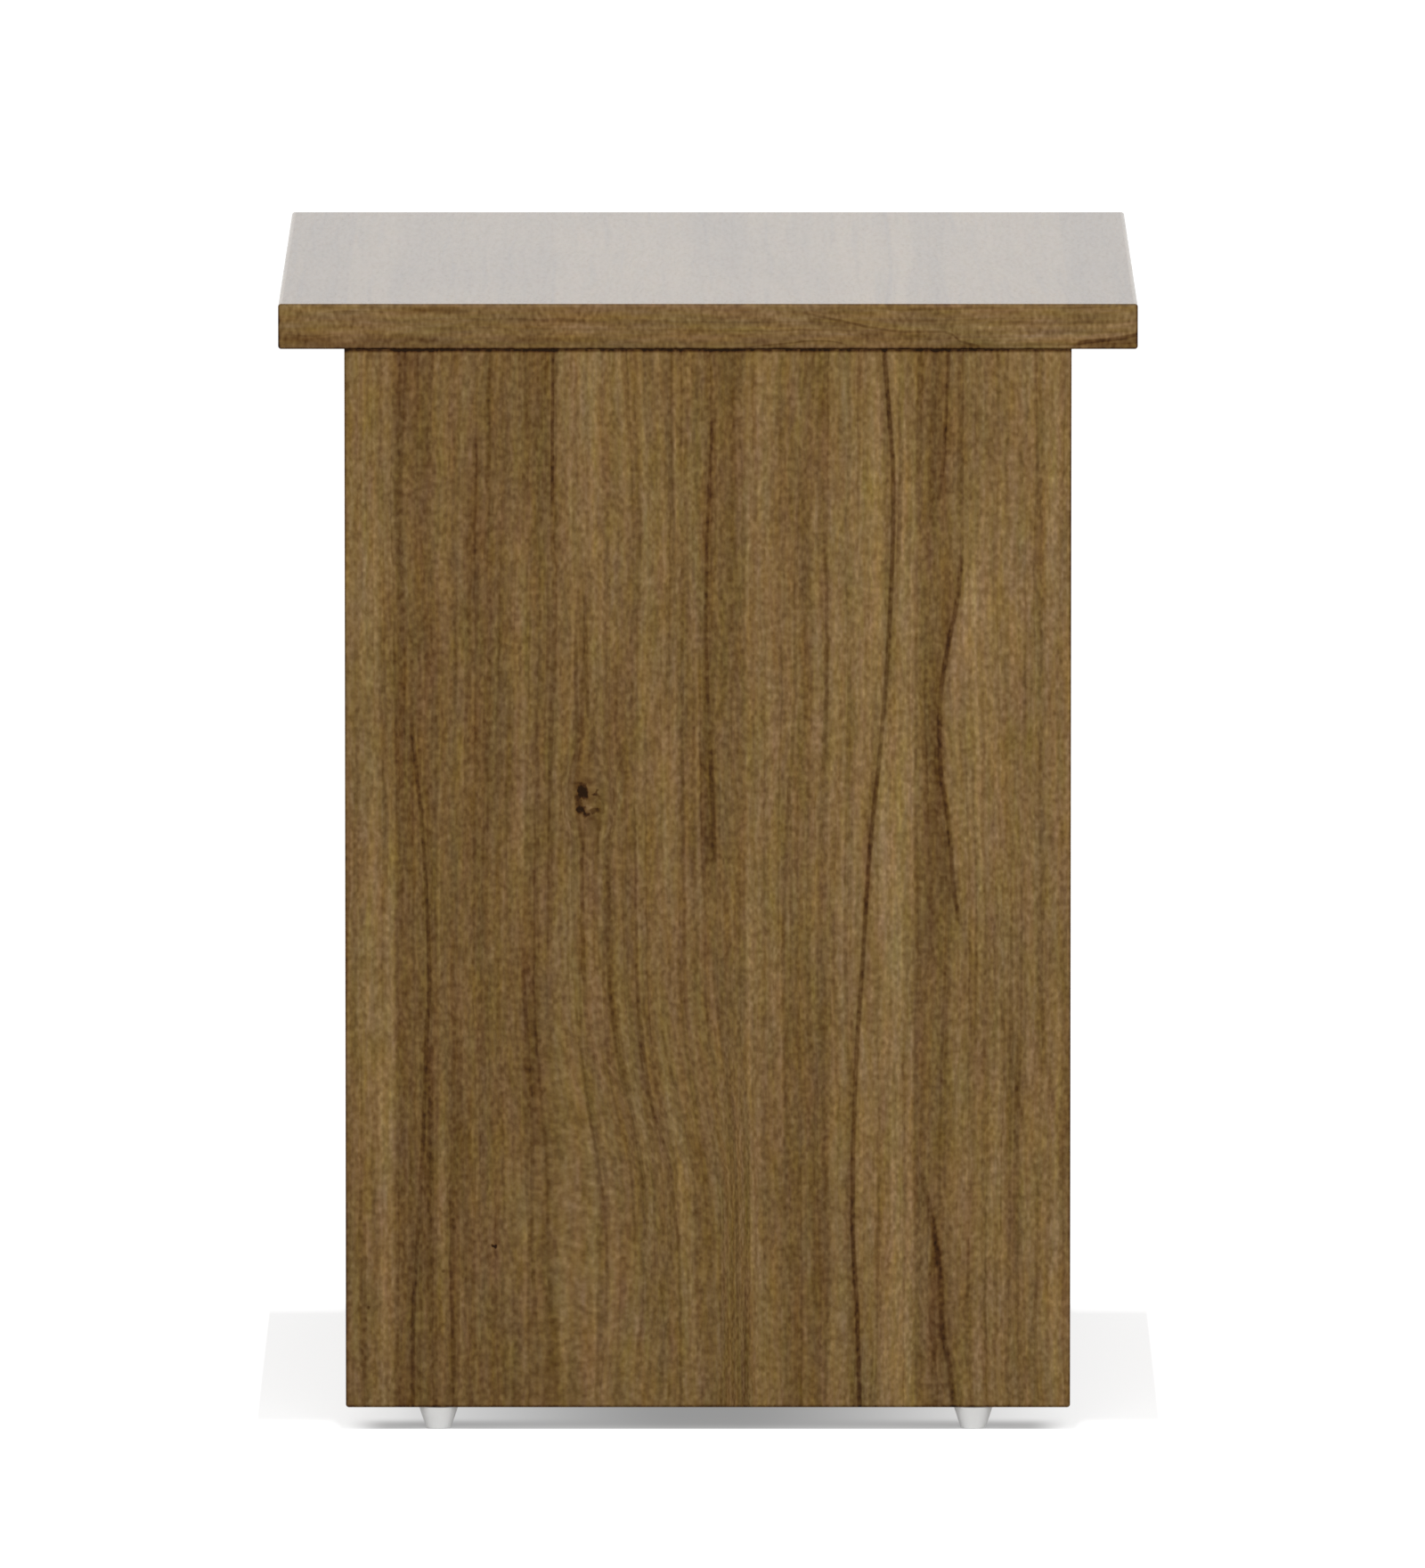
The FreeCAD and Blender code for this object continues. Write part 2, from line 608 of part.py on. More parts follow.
def back_panel():
    """Hardboard sheet in the sides' grooves, nailed to the bottom panel's back edge."""
    body = keep(doc.addObject("PartDesign::Body", "back_panel"), "back_panel")
    outline = new_sketch(body, "XZ_Plane")
    half_width = "inner_x + back_groove - sheet_gap"
    draw_rectangle(outline, f"-({half_width})", "0", half_width, "side_height - toe_height")
    pad(body, outline, "hardboard", backwards=True)
    spots = [(across, "inner_board / 2") for across in back_nail_spots()]
    drill(body, "XZ_Plane", "cut_over", spots, "back_nail_radius + fit_gap", "hardboard + 2 * cut_over")
    place(body, "0", "front_y + back_face", "foot_height + toe_height")


def foot(name, across, along):
    """White tapered foot, moulded round its nail's head, with a rounded lower edge."""
    body = turned_piece(name, [
        ("0", "0"),
        ("foot_floor_radius", "0"),
        ("foot_top_radius", "foot_height"),
        ("foot_nail_radius", "foot_height"),
        ("foot_nail_radius", "foot_nail_seat + nail_head_thickness"),
        ("foot_nail_head", "foot_nail_seat + nail_head_thickness"),
        ("foot_nail_head", "foot_nail_seat"),
        ("0", "foot_nail_seat"),
    ])
    near_floor = number_of("foot_nail_seat / 2")
    round_edges(body, "foot_rounding", lambda middle: middle.z < near_floor)
    place(body, across, along, "0")
    keep(body, name)


def carcass_fasteners():
    """Cam bolts, cams, dowels and nails that hold the case together."""
    bolts = []
    cams = []
    dowels = []
    for word, hand in HANDS:
        across = head_to(inwards_from(hand))
        edge_x = f"{hand} * (inner_x + cam_axis)"
        face_x = f"{hand} * (inner_x)"
        for along in SIDE_CAMS:
            bolts.append((edge_x, f"front_y + {along}", "foot_height + side_height", head_to(DOWN)))
        for along in SIDE_DOWELS:
            dowels.append((edge_x, f"front_y + {along}", "foot_height + side_height", head_to(DOWN)))
        level = [(along, BOTTOM_AXIS) for along in BOTTOM_CAMS]
        level.append((RAIL_CAM, RAIL_AXIS))
        for along, height in level:
            bolts.append((face_x, f"front_y + {along}", f"foot_height + {height}", across))
        level = [(along, BOTTOM_AXIS) for along in BOTTOM_DOWELS]
        level.append((RAIL_DOWEL, RAIL_AXIS))
        level += [("toe_middle", height) for height in TOE_DOWELS]
        for along, height in level:
            dowels.append((face_x, f"front_y + {along}", f"foot_height + {height}", across))
    group_of("cam_bolts", cam_bolt, bolts)
    group_of("dowels", dowel, dowels)

    # A cam's bore points at the joint: up for the top, and outwards for the bottom and the middle rail.
    for word, hand in HANDS:
        upright = turn_from(inwards_from(hand), UP)
        for along in SIDE_CAMS:
            cams.append((f"{hand} * (inner_x)", f"front_y + {along}",
                         "foot_height + side_height - cam_reach", upright))
        flat = turn_from(DOWN, inwards_from(-hand))
        spots = [(along, "toe_height") for along in BOTTOM_CAMS]
        spots.append((RAIL_CAM, "rail_low"))
        for along, low in spots:
            cams.append((f"{hand} * (inner_x - cam_reach)", f"front_y + {along}",
                         f"foot_height + {low}", flat))
    group_of("cams", cam, cams)

    nails = []
    for word, hand in HANDS:
        for place_word, along in FEET:
            across = f"{hand} * (inner_x + side_thickness / 2)"
            nails.append((across, f"front_y + {along}", "foot_nail_seat + nail_head_thickness",
                          head_to(DOWN)))
    group_of("foot_nails", foot_nail, nails)

    nails = []
    for across in back_nail_spots():
        nails.append((across, "front_y + back_face + hardboard", f"foot_height + {BOTTOM_AXIS}",
                      head_to(BACKWARD)))
    group_of("back_panel_nails", back_nail, nails)


def case_runner(drawer, low, word, hand):
    """C-shaped steel channel on a side: its origin is on the side's inner face, at its lower front end."""
    name = f"{drawer}_{word}_case_runner"
    body = keep(doc.addObject("PartDesign::Body", name), name)
    flange = "runner_space - steel - flange_gap"
    inner = -hand
    section = new_sketch(body, "XZ_Plane")
    draw_polygon(section, [
        ("0", "0"),
        (f"{inner} * ({flange})", "0"),
        (f"{inner} * ({flange})", "steel"),
        (f"{inner} * steel", "steel"),
        (f"{inner} * steel", "channel_height - steel"),
        (f"{inner} * ({flange})", "channel_height - steel"),
        (f"{inner} * ({flange})", "channel_height"),
        ("0", "channel_height"),
    ])
    pad(body, section, "runner_length", backwards=True)

    # The upper flange is open in front, where the drawer's rear roller is put in.
    far = f"{inner} * ({flange} + cut_over)"
    sketch = new_sketch(body, "XY_Plane", "channel_height + cut_over")
    draw_rectangle(sketch, f"{inner} * steel", "-cut_over", far, "entry_length")
    pocket(body, sketch, "2 * cut_over")

    # A tab closes the rear end and stops the roller.
    tab = new_sketch(body, "XZ_Plane", "steel - runner_length")
    draw_rectangle(tab, "0", "0", f"{inner} * ({flange})", "channel_height")
    pad(body, tab, "steel", backwards=True)

    spots = [(spot, "channel_height / 2") for spot in RUNNER_SCREWS]
    drill(body, "YZ_Plane", f"{hand} * cut_over", spots, "screw_radius + fit_gap", "2 * cut_over",
          hand == LEFT)
    drill(body, "YZ_Plane", f"{hand} * cut_over", [("roller_inset", "axle_height")], "axle_radius + fit_gap",
          "2 * cut_over", hand == LEFT)
    place(body, f"{hand} * (inner_x)", "front_y + channel_front",
          f"foot_height + {low} + box_rise + channel_rise")


def drawer_runner(drawer, low, word, hand):
    """Steel runner on a drawer side: web outside, shelf under the side, lip that rides on the roller."""
    name = f"{drawer}_{word}_drawer_runner"
    body = keep(doc.addObject("PartDesign::Body", name), name)
    lip_low = "channel_rise + axle_height + roller_radius + run_gap"
    lip_high = f"{lip_low} + steel"
    section = new_sketch(body, "XZ_Plane")
    draw_polygon(section, [
        (f"{-hand} * shelf_width", "-steel"),
        (f"{hand} * steel", "-steel"),
        (f"{hand} * steel", lip_low),
        (f"{hand} * (steel + lip_width)", lip_low),
        (f"{hand} * (steel + lip_width)", lip_high),
        ("0", lip_high),
        ("0", "0"),
        (f"{-hand} * shelf_width", "0"),
    ])
    pad(body, section, "runner_length", backwards=True)
    axle_spot = ("rear_axle_y - inner_board", "channel_rise + axle_height")
    drill(body, "YZ_Plane", f"{-hand} * cut_over", [axle_spot], "axle_radius + fit_gap", "2 * cut_over",
          hand == RIGHT)
    spots = [(f"{-hand} * drawer_board / 2", spot) for spot in RUNNER_SCREWS]
    drill(body, "XY_Plane", "-cut_over", spots, "screw_radius + fit_gap", "2 * cut_over", True)
    place(body, f"{hand} * (box_x)", "front_y + inner_board", f"foot_height + {low} + box_rise")


def roller(name, middle, along, up):
    """White nylon roller on its axle, its tread's edges chamfered."""
    body = turned_piece(name, [
        ("axle_radius + axle_gap", "0"),
        ("roller_radius - roller_chamfer", "0"),
        ("roller_radius", "roller_chamfer"),
        ("roller_radius", "roller_width - roller_chamfer"),
        ("roller_radius - roller_chamfer", "roller_width"),
        ("axle_radius + axle_gap", "roller_width"),
    ])
    place(body, f"{middle} - roller_width / 2", along, up, head_to(inwards_from(LEFT)))
    keep(body, name)


def drawer_front(drawer, low):
    """The front's board and its edge band: their origin is the middle of the front face's lower edge."""
    body = keep(doc.addObject("PartDesign::Body", f"{drawer}_drawer_front"), f"{drawer}_drawer_front")
    outline = new_sketch(body, "XZ_Plane")
    draw_rectangle(outline, "band - front_width / 2", "band", "front_width / 2 - band", "front_height - band")
    pad(body, outline, "inner_board", backwards=True)
    groove_low = "box_rise + floor_rise - sheet_gap"
    groove_high = "box_rise + floor_rise + hardboard + sheet_gap"
    half = "(floor_half_width) + sheet_gap"
    corners = (f"-({half})", groove_low, half, groove_high)
    trench(body, "XZ_Plane", "-inner_board", corners, "floor_groove", True)
    for word, hand in HANDS:
        spots = [(f"{hand} * (box_x - drawer_board / 2)", f"box_rise + {height}") for height in box_cams()]
        drill(body, "XZ_Plane", "-inner_board", spots, "cam_bolt_radius + fit_gap",
              "cam_bolt_depth + end_gap", True)
    spot = ("0", "front_y", f"foot_height + {low}")
    place(body, *spot)

    outer = ("-(front_width) / 2", "0", "(front_width) / 2", "front_height")
    inner = ("band - (front_width) / 2", "band", "(front_width) / 2 - band", "front_height - band")
    band = banded_edge(f"{drawer}_front_edge_band", "XZ_Plane", outer, inner, "inner_board",
                       lambda middle: True, backwards=True)
    place(band, *spot)


def box_cams():
    """Heights of a drawer side's cams over its lower edge."""
    return ("cam_margin", "box_height - cam_margin")


def box_screws():
    """Heights of the screws that hold a drawer's back."""
    return ("back_screw_margin", "box_height - back_screw_margin")


def drawer_side(drawer, low, word, hand):
    """A drawer side: its origin is its outer face at the lower front corner."""
    name = f"{drawer}_drawer_{word}_side"
    body = keep(doc.addObject("PartDesign::Body", name), name)
    outline = new_sketch(body, "YZ_Plane")
    draw_rectangle(outline, "0", "0", "box_depth", "box_height")
    inwards = hand == RIGHT
    pad(body, outline, "drawer_board", backwards=inwards)
    inner_face = f"{-hand} * drawer_board"

    groove = ("-cut_over", "floor_rise - sheet_gap", "box_depth - drawer_board + floor_groove",
              "floor_rise + hardboard + sheet_gap")
    trench(body, "YZ_Plane", inner_face, groove, "floor_groove", inwards)
    cams = [("cam_reach", height) for height in box_cams()]
    drill(body, "YZ_Plane", inner_face, cams, "cam_radius + fit_gap", "small_cam_depth", inwards)
    spots = [(f"{-hand} * drawer_board / 2", height) for height in box_cams()]
    drill(body, "XZ_Plane", "0", spots, "cam_hole", "cam_reach", False)

    # Clearance holes and countersinks for the back's screws, and pilot holes for the runner's.
    spots = [("box_depth - drawer_board / 2", height) for height in box_screws()]
    drill(body, "YZ_Plane", f"{hand} * cut_over", spots, "screw_radius + fit_gap",
          "drawer_board + 2 * cut_over", not inwards)
    drill(body, "YZ_Plane", "0", spots, "screw_head + fit_gap", "back_screw_head_height", not inwards)
    spots = [(f"{-hand} * drawer_board / 2", spot) for spot in RUNNER_SCREWS]
    drill(body, "XY_Plane", "0", spots, "screw_radius + fit_gap", "screw_length - steel + end_gap", True)
    place(body, f"{hand} * (box_x)", "front_y + inner_board", f"foot_height + {low} + box_rise")


def drawer_back(drawer, low):
    """The back between the drawer's sides: its origin is the middle of its lower front edge."""
    name = f"{drawer}_drawer_back"
    body = keep(doc.addObject("PartDesign::Body", name), name)
    outline = new_sketch(body, "XZ_Plane")
    draw_rectangle(outline, "drawer_board - (box_x)", "0", "box_x - drawer_board", "box_height")
    pad(body, outline, "drawer_board", backwards=True)
    groove = ("-(box_x)", "floor_rise - sheet_gap", "box_x", "floor_rise + hardboard + sheet_gap")
    trench(body, "XZ_Plane", "0", groove, "floor_groove", False)
    for word, hand in HANDS:
        spots = [("drawer_board / 2", height) for height in box_screws()]
        drill(body, "YZ_Plane", f"{hand} * (box_x - drawer_board)", spots, "screw_radius + fit_gap",
              "back_screw_length - drawer_board + end_gap", hand == LEFT)
    place(body, "0", "front_y + box_back - drawer_board", f"foot_height + {low} + box_rise")


def drawer_bottom(drawer, low):
    """Hardboard sheet in the grooves of the front, the sides and the back."""
    name = f"{drawer}_drawer_bottom"
    board = doc.addObject("Part::Box", name)
    bind(board, "Length", "2 * floor_half_width")
    bind(board, "Width", "box_depth - drawer_board + 2 * (floor_groove - sheet_gap)")
    bind(board, "Height", "hardboard")
    place(board, "-(floor_half_width)", "front_y + inner_board - floor_groove + sheet_gap",
          f"foot_height + {low} + box_rise + floor_rise")
    keep(board, name)


def drawer_fasteners(drawer, low):
    """Cam bolts, cams and screws that ride with a drawer, and the axles of its rear rollers."""
    bolts = []
    cams = []
    back_screws = []
    runner_screws = []
    axles = []
    base = f"foot_height + {low} + box_rise"
    for word, hand in HANDS:
        outwards = head_to(inwards_from(-hand))
        turn = turn_from(inwards_from(hand), FORWARD)
        middle_x = f"{hand} * (box_x - drawer_board / 2)"
        for height in box_cams():
            bolts.append((middle_x, "front_y + inner_board", f"{base} + {height}", head_to(BACKWARD)))
            cams.append((f"{hand} * (box_x - drawer_board)", "front_y + inner_board + cam_reach",
                         f"{base} + {height}", turn))
        for height in box_screws():
            back_screws.append((f"{hand} * (box_x)", "front_y + box_back - drawer_board / 2",
                                f"{base} + {height}", outwards))
        for spot in RUNNER_SCREWS:
            runner_screws.append((middle_x, f"front_y + inner_board + {spot}", f"{base} - steel",
                                  head_to(DOWN)))
        axles.append((f"{hand} * (box_x)", "front_y + rear_axle_y", f"{base} + channel_rise + axle_height",
                      outwards))
    group_of(f"{drawer}_drawer_cam_bolts", cam_bolt, bolts)
    group_of(f"{drawer}_drawer_cams", small_cam, cams)
    group_of(f"{drawer}_drawer_back_screws", back_screw, back_screws)
    group_of(f"{drawer}_drawer_runner_screws", runner_screw, runner_screws)
    group_of(f"{drawer}_rear_roller_axles", axle, axles)


def runner_hardware():
    """Screws and axles that stay with the case, and all the rollers."""
    screws = []
    axles = []
    for drawer, low in DRAWERS:
        channel_low = f"foot_height + {low} + box_rise + channel_rise"
        for word, hand in HANDS:
            across = head_to(inwards_from(hand))
            for spot in RUNNER_SCREWS:
                screws.append((f"{hand} * (inner_x - steel)", f"front_y + channel_front + {spot}",
                               f"{channel_low} + channel_height / 2", across))
            up = f"{channel_low} + axle_height"
            axles.append((f"{hand} * (inner_x)", "front_y + front_axle_y", up, across))
            roller(f"{drawer}_{word}_front_roller", f"{hand} * (inner_x - roller_middle)",
                   "front_y + front_axle_y", up)
            roller(f"{drawer}_{word}_rear_roller", f"{hand} * (box_x + roller_middle)",
                   "front_y + rear_axle_y", up)
    group_of("case_runner_screws", runner_screw, screws)
    group_of("front_roller_axles", axle, axles)


top_panel()
top_band()
for side_word, side_hand in HANDS:
    side_panel(side_word, side_hand)
    side_band(side_word, side_hand)
    for foot_word, foot_along in FEET:
        foot(f"{foot_word}_{side_word}_foot", f"{side_hand} * (inner_x + side_thickness / 2)",
             f"front_y + {foot_along}")
bottom_panel()
middle_rail()
toe_rail()
back_panel()
carcass_fasteners()
runner_hardware()
for drawer_word, front_low in DRAWERS:
    drawer_front(drawer_word, front_low)
    drawer_back(drawer_word, front_low)
    drawer_bottom(drawer_word, front_low)
    for side_word, side_hand in HANDS:
        drawer_side(drawer_word, front_low, side_word, side_hand)
        case_runner(drawer_word, front_low, side_word, side_hand)
        drawer_runner(drawer_word, front_low, side_word, side_hand)
    drawer_fasteners(drawer_word, front_low)

doc.recompute()
for thing in doc.Objects:
    if "Invalid" in thing.State or "Error" in thing.State:
        raise RuntimeError(f"{thing.Label} did not build: {thing.State}")
    if thing.TypeId == "PartDesign::Pocket" and thing.Shape.Volume >= thing.BaseFeature.Shape.Volume:
        raise RuntimeError(f"{thing.Label} in {thing.getParentGeoFeatureGroup().Label} cuts nothing")
for piece in PIECES:
    if piece.Shape.isNull() or not piece.Shape.isValid() or not piece.Shape.Solids:
        raise RuntimeError(f"{piece.Label} is not a valid solid")

os.makedirs("parts", exist_ok=True)
for piece in PIECES:
    piece.Shape.exportStep(f"parts/{piece.Label}.step")
print(len(PIECES), "pieces written")
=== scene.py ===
import bpy
import math
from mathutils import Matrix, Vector


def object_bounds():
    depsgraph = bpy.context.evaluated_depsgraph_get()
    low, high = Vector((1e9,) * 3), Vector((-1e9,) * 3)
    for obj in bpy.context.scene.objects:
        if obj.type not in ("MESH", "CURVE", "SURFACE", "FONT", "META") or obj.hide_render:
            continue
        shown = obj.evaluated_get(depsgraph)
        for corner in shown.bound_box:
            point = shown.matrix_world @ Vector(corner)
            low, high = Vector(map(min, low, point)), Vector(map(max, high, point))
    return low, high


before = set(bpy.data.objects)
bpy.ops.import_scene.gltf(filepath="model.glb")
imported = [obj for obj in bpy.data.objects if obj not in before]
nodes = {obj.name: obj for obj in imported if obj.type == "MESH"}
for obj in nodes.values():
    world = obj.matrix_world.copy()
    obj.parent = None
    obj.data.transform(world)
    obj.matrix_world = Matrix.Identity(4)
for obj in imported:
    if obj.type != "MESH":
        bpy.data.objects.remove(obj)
cad_low, cad_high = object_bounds()


# The two slab sides: 18 mm particle board wrapped in matt walnut foil, its figure upright.
# They stand on the feet, and cam bolts and dowels draw the other boards to them.

def join(tree, socket, value):
    """Give a socket a value, or the output of another node."""
    if isinstance(value, bpy.types.NodeSocket):
        tree.links.new(value, socket)
    else:
        socket.default_value = value


def add(tree, kind, sockets=(), **settings):
    """A node with its settings made and its sockets filled."""
    made = tree.nodes.new(kind)
    for name, value in settings.items():
        setattr(made, name, value)
    for name, value in dict(sockets).items():
        join(tree, made.inputs[name], value)
    return made


def calc(tree, operation, *terms, clamp=False):
    """The result of one sum on numbers or sockets."""
    made = add(tree, "ShaderNodeMath", operation=operation, use_clamp=clamp)
    for socket, term in zip(made.inputs, terms):
        join(tree, socket, term)
    return made.outputs[0]


def ease(tree, value, start, end, low=0.0, high=1.0):
    """A smooth step from low, before start, to high, after end."""
    made = add(tree, "ShaderNodeMapRange", {"Value": value, "From Min": start, "From Max": end,
                                            "To Min": low, "To Max": high}, interpolation_type="SMOOTHSTEP")
    return made.outputs["Result"]


def start_group(name, numbers, outputs):
    """A shader node group with number inputs: its tree, its inputs and the node that takes its outputs."""
    tree = bpy.data.node_groups.new(name, "ShaderNodeTree")
    for label, number in numbers.items():
        tree.interface.new_socket(label, in_out="INPUT", socket_type="NodeSocketFloat").default_value = number
    for label, kind in outputs.items():
        tree.interface.new_socket(label, in_out="OUTPUT", socket_type=kind)
    return tree, tree.nodes.new("NodeGroupInput").outputs, tree.nodes.new("NodeGroupOutput")


def spots(tree, place, wide, long, detail=1.0, rough=0.5, moved=0.0):
    """Noise about zero, its spots so many millimetres across and along the grain."""
    squeeze = (1 / wide, 1 / long, 1 / wide)
    squeezed = add(tree, "ShaderNodeVectorMath", {0: place, 1: squeeze, 2: (moved, 0, moved)},
                   operation="MULTIPLY_ADD")
    noise = add(tree, "ShaderNodeTexNoise", {"Vector": squeezed.outputs[0], "Scale": 1.0, "Detail": detail,
                                             "Roughness": rough})
    return calc(tree, "SUBTRACT", noise.outputs["Fac"], 0.5)


def point_at(tree, across, along, depth=0.0):
    """A point for noise, from its three distances."""
    return add(tree, "ShaderNodeCombineXYZ", {0: across, 1: along, 2: depth}).outputs[0]


def layers(tree, first, *parts):
    """A tone and the parts laid over it, each with its strength."""
    total = first
    for part, strength in parts:
        total = calc(tree, "MULTIPLY_ADD", part, strength, total)
    return total


def colour_ramp(tree, value, stops):
    """Colour by value, through stops of (value, colour)."""
    ramp = add(tree, "ShaderNodeValToRGB", {"Fac": value})
    elements = ramp.color_ramp.elements
    while len(elements) < len(stops):
        elements.new(1.0)
    for element, (position, colour) in zip(elements, stops):
        element.position = position
        element.color = (*colour, 1.0)
    return ramp.outputs["Color"]


def print_colour(tree, tone):
    """Colour of the walnut print, from its darkest line to its palest fleck; tone counts in grey steps."""
    steps_in_ramp, mean_place = 100, 0.55
    return colour_ramp(tree, calc(tree, "MULTIPLY_ADD", tone, 1 / steps_in_ramp, mean_place), (
        (0.00, (0.015, 0.006, 0.001)), (0.13, (0.046, 0.019, 0.005)), (0.27, (0.084, 0.041, 0.011)),
        (0.44, (0.128, 0.073, 0.024)), (0.55, (0.164, 0.098, 0.034)), (0.67, (0.205, 0.129, 0.050)),
        (0.80, (0.264, 0.172, 0.071)), (0.95, (0.344, 0.239, 0.109))))


def walnut_grain():
    """Printed walnut: fibres and flecks along the grain, over bands and thin dark veins."""
    tree, given, result = start_group(
        "walnut_grain",
        {"Across": 0, "Along": 0, "Depth": 0, "Tone": 0, "Bands": 1, "Veins": 1, "Fine": 1,
         "Roughness": 0.42},
        {"Color": "NodeSocketColor", "Roughness": "NodeSocketFloat", "Height": "NodeSocketFloat"})
    across, along, depth = given["Across"], given["Along"], given["Depth"]

    # The grain isn't dead straight: it wanders by some millimetres over a board, and a little at each fibre.
    plain = point_at(tree, across, along, depth)
    bent_across = layers(tree, across, (spots(tree, plain, 60, 160, moved=3.1), 9.0),
                         (spots(tree, plain, 8, 13, moved=1.9), 1.5))
    place = point_at(tree, bent_across, along, depth)

    # Each sort of mark: its width and length in mm.
    bands = spots(tree, place, 26, 1500, detail=2, rough=0.6, moved=7.7)
    stripes = spots(tree, place, 7, 900, detail=2, rough=0.6, moved=1.3)
    lines = spots(tree, place, 3.6, 260, rough=0.6)
    dark_lines = ease(tree, spots(tree, place, 3.2, 260, detail=1, moved=3.3), 0.05, 0.22)
    fibres = spots(tree, place, 1.8, 18, detail=1, rough=0.6, moved=5.2)
    flecks = spots(tree, place, 1.9, 2.7, detail=0.6, rough=0.6, moved=2.6)
    clouds = spots(tree, place, 16, 90, moved=9.4)
    drifts = spots(tree, place, 60, 200, moved=6.1)

    # A vein runs where a wide noise crosses nought: a thin line in a soft shade, broken here and there.
    vein_field = calc(tree, "ABSOLUTE", spots(tree, place, 75, 900, detail=1.5, rough=0.4, moved=4.4))
    vein = layers(tree, 0.0, (ease(tree, vein_field, 0.001, 0.010, 1.0, 0.0), 0.7),
                  (ease(tree, vein_field, 0.0, 0.04, 1.0, 0.0), 0.3))
    vein_breaks = ease(tree, spots(tree, place, 90, 260, moved=6.6), -0.05, 0.12)
    veins = calc(tree, "MULTIPLY", calc(tree, "MULTIPLY", vein, vein_breaks), given["Veins"])

    # How many grey steps each sort of mark makes.
    fine = layers(tree, 0.0, (lines, 40), (fibres, 18), (flecks, 52))
    tone = layers(tree, given["Tone"], (calc(tree, "MULTIPLY", bands, given["Bands"]), 52), (stripes, 24),
                  (dark_lines, -11), (clouds, 12), (drifts, 20), (veins, -30),
                  (calc(tree, "MULTIPLY", fine, given["Fine"]), 1.0))
    mean_shift = -0.8
    colour = print_colour(tree, calc(tree, "ADD", tone, mean_shift))

    # The print is a little redder in some streaks, and greyer or more olive in others.
    red = spots(tree, place, 6, 50, detail=3, rough=0.6, moved=8.3)
    blue = spots(tree, place, 5, 30, detail=3, rough=0.65, moved=0.7)
    tint = add(tree, "ShaderNodeCombineColor", {
        "Red": layers(tree, 1.01, (red, 0.28)), "Green": layers(tree, 1.0, (red, -0.07)),
        "Blue": layers(tree, 1.0, (blue, 1.2))}).outputs[0]
    tinted = add(tree, "ShaderNodeMix", {0: 1.0, 6: colour, 7: tint}, data_type="RGBA", blend_type="MULTIPLY")
    join(tree, result.inputs["Color"], tinted.outputs[2])
    join(tree, result.inputs["Roughness"], layers(tree, given["Roughness"], (fibres, -0.12), (flecks, -0.08)))
    join(tree, result.inputs["Height"], layers(tree, 0.5, (fibres, 0.6), (lines, 0.4), (flecks, 0.3)))
    return tree


WALNUT_GRAIN = walnut_grain()


def share_of(value, ends):
    """Where a plain number stands between two ends, from 0 to 1."""
    return (value - ends[0]) / (ends[1] - ends[0])


def shared(tree, value, ends):
    """Where a socket's value stands between two ends, from 0 to 1."""
    return calc(tree, "DIVIDE", calc(tree, "SUBTRACT", value, ends[0]), ends[1] - ends[0], clamp=True)


def curve_through(tree, value, pairs):
    """A smooth curve through pairs of (input, output) from 0 to 1."""
    made = add(tree, "ShaderNodeFloatCurve", {"Value": value})
    curve = made.mapping.curves[0]
    while len(curve.points) < len(pairs):
        curve.points.new(0.5, 0.5)
    for point, pair in zip(curve.points, pairs):
        point.location = pair
        point.handle_type = "AUTO_CLAMPED"
    made.mapping.update()
    return made.outputs[0]


def hill(tree, value, start, top, top_end, end):
    """Nought outside start and end, one from top to top_end."""
    return calc(tree, "MULTIPLY", ease(tree, value, start, top), ease(tree, value, top_end, end, 1.0, 0.0))


def figure_line(tree, across, along, ends, reach, path, width, halo, lean, fade):
    """Mask of a line through (along, across) pairs in ends and reach; its soft halo leans to one side."""
    core_share, halo_share = 0.72, 0.28
    pairs = [(share_of(spot, ends), share_of(side, reach)) for spot, side in path]
    middle = calc(tree, "MULTIPLY_ADD", curve_through(tree, shared(tree, along, ends), pairs),
                  reach[1] - reach[0], reach[0])
    off = calc(tree, "SUBTRACT", across, middle)
    core = ease(tree, calc(tree, "ABSOLUTE", off), width / 4, width, 1.0, 0.0)
    shade = ease(tree, calc(tree, "ABSOLUTE", calc(tree, "SUBTRACT", off, lean)), 0.0, halo, 1.0, 0.0)
    mask = layers(tree, 0.0, (core, core_share), (shade, halo_share))
    first, last = path[0][0], path[-1][0]
    if first > ends[0]:
        mask = calc(tree, "MULTIPLY", mask, ease(tree, along, first, first + fade))
    if last < ends[1]:
        mask = calc(tree, "MULTIPLY", mask, ease(tree, along, last - fade, last, 1.0, 0.0))
    return mask


def patch(tree, across, along, centre, radii):
    """Mask of a soft round or oval patch."""
    off_across = calc(tree, "DIVIDE", calc(tree, "SUBTRACT", across, centre[0]), radii[0])
    off_along = calc(tree, "DIVIDE", calc(tree, "SUBTRACT", along, centre[1]), radii[1])
    distance = calc(tree, "MULTIPLY_ADD", off_across, off_across,
                    calc(tree, "MULTIPLY", off_along, off_along))
    return ease(tree, distance, 0.0, 1.0, 1.0, 0.0)


def ends_of(name, axis):
    """Where a CAD piece starts and ends along an axis, to a hundredth of a millimetre."""
    places = [round(1000 * corner[axis], 2) for corner in nodes[name].bound_box]
    return min(places), max(places)


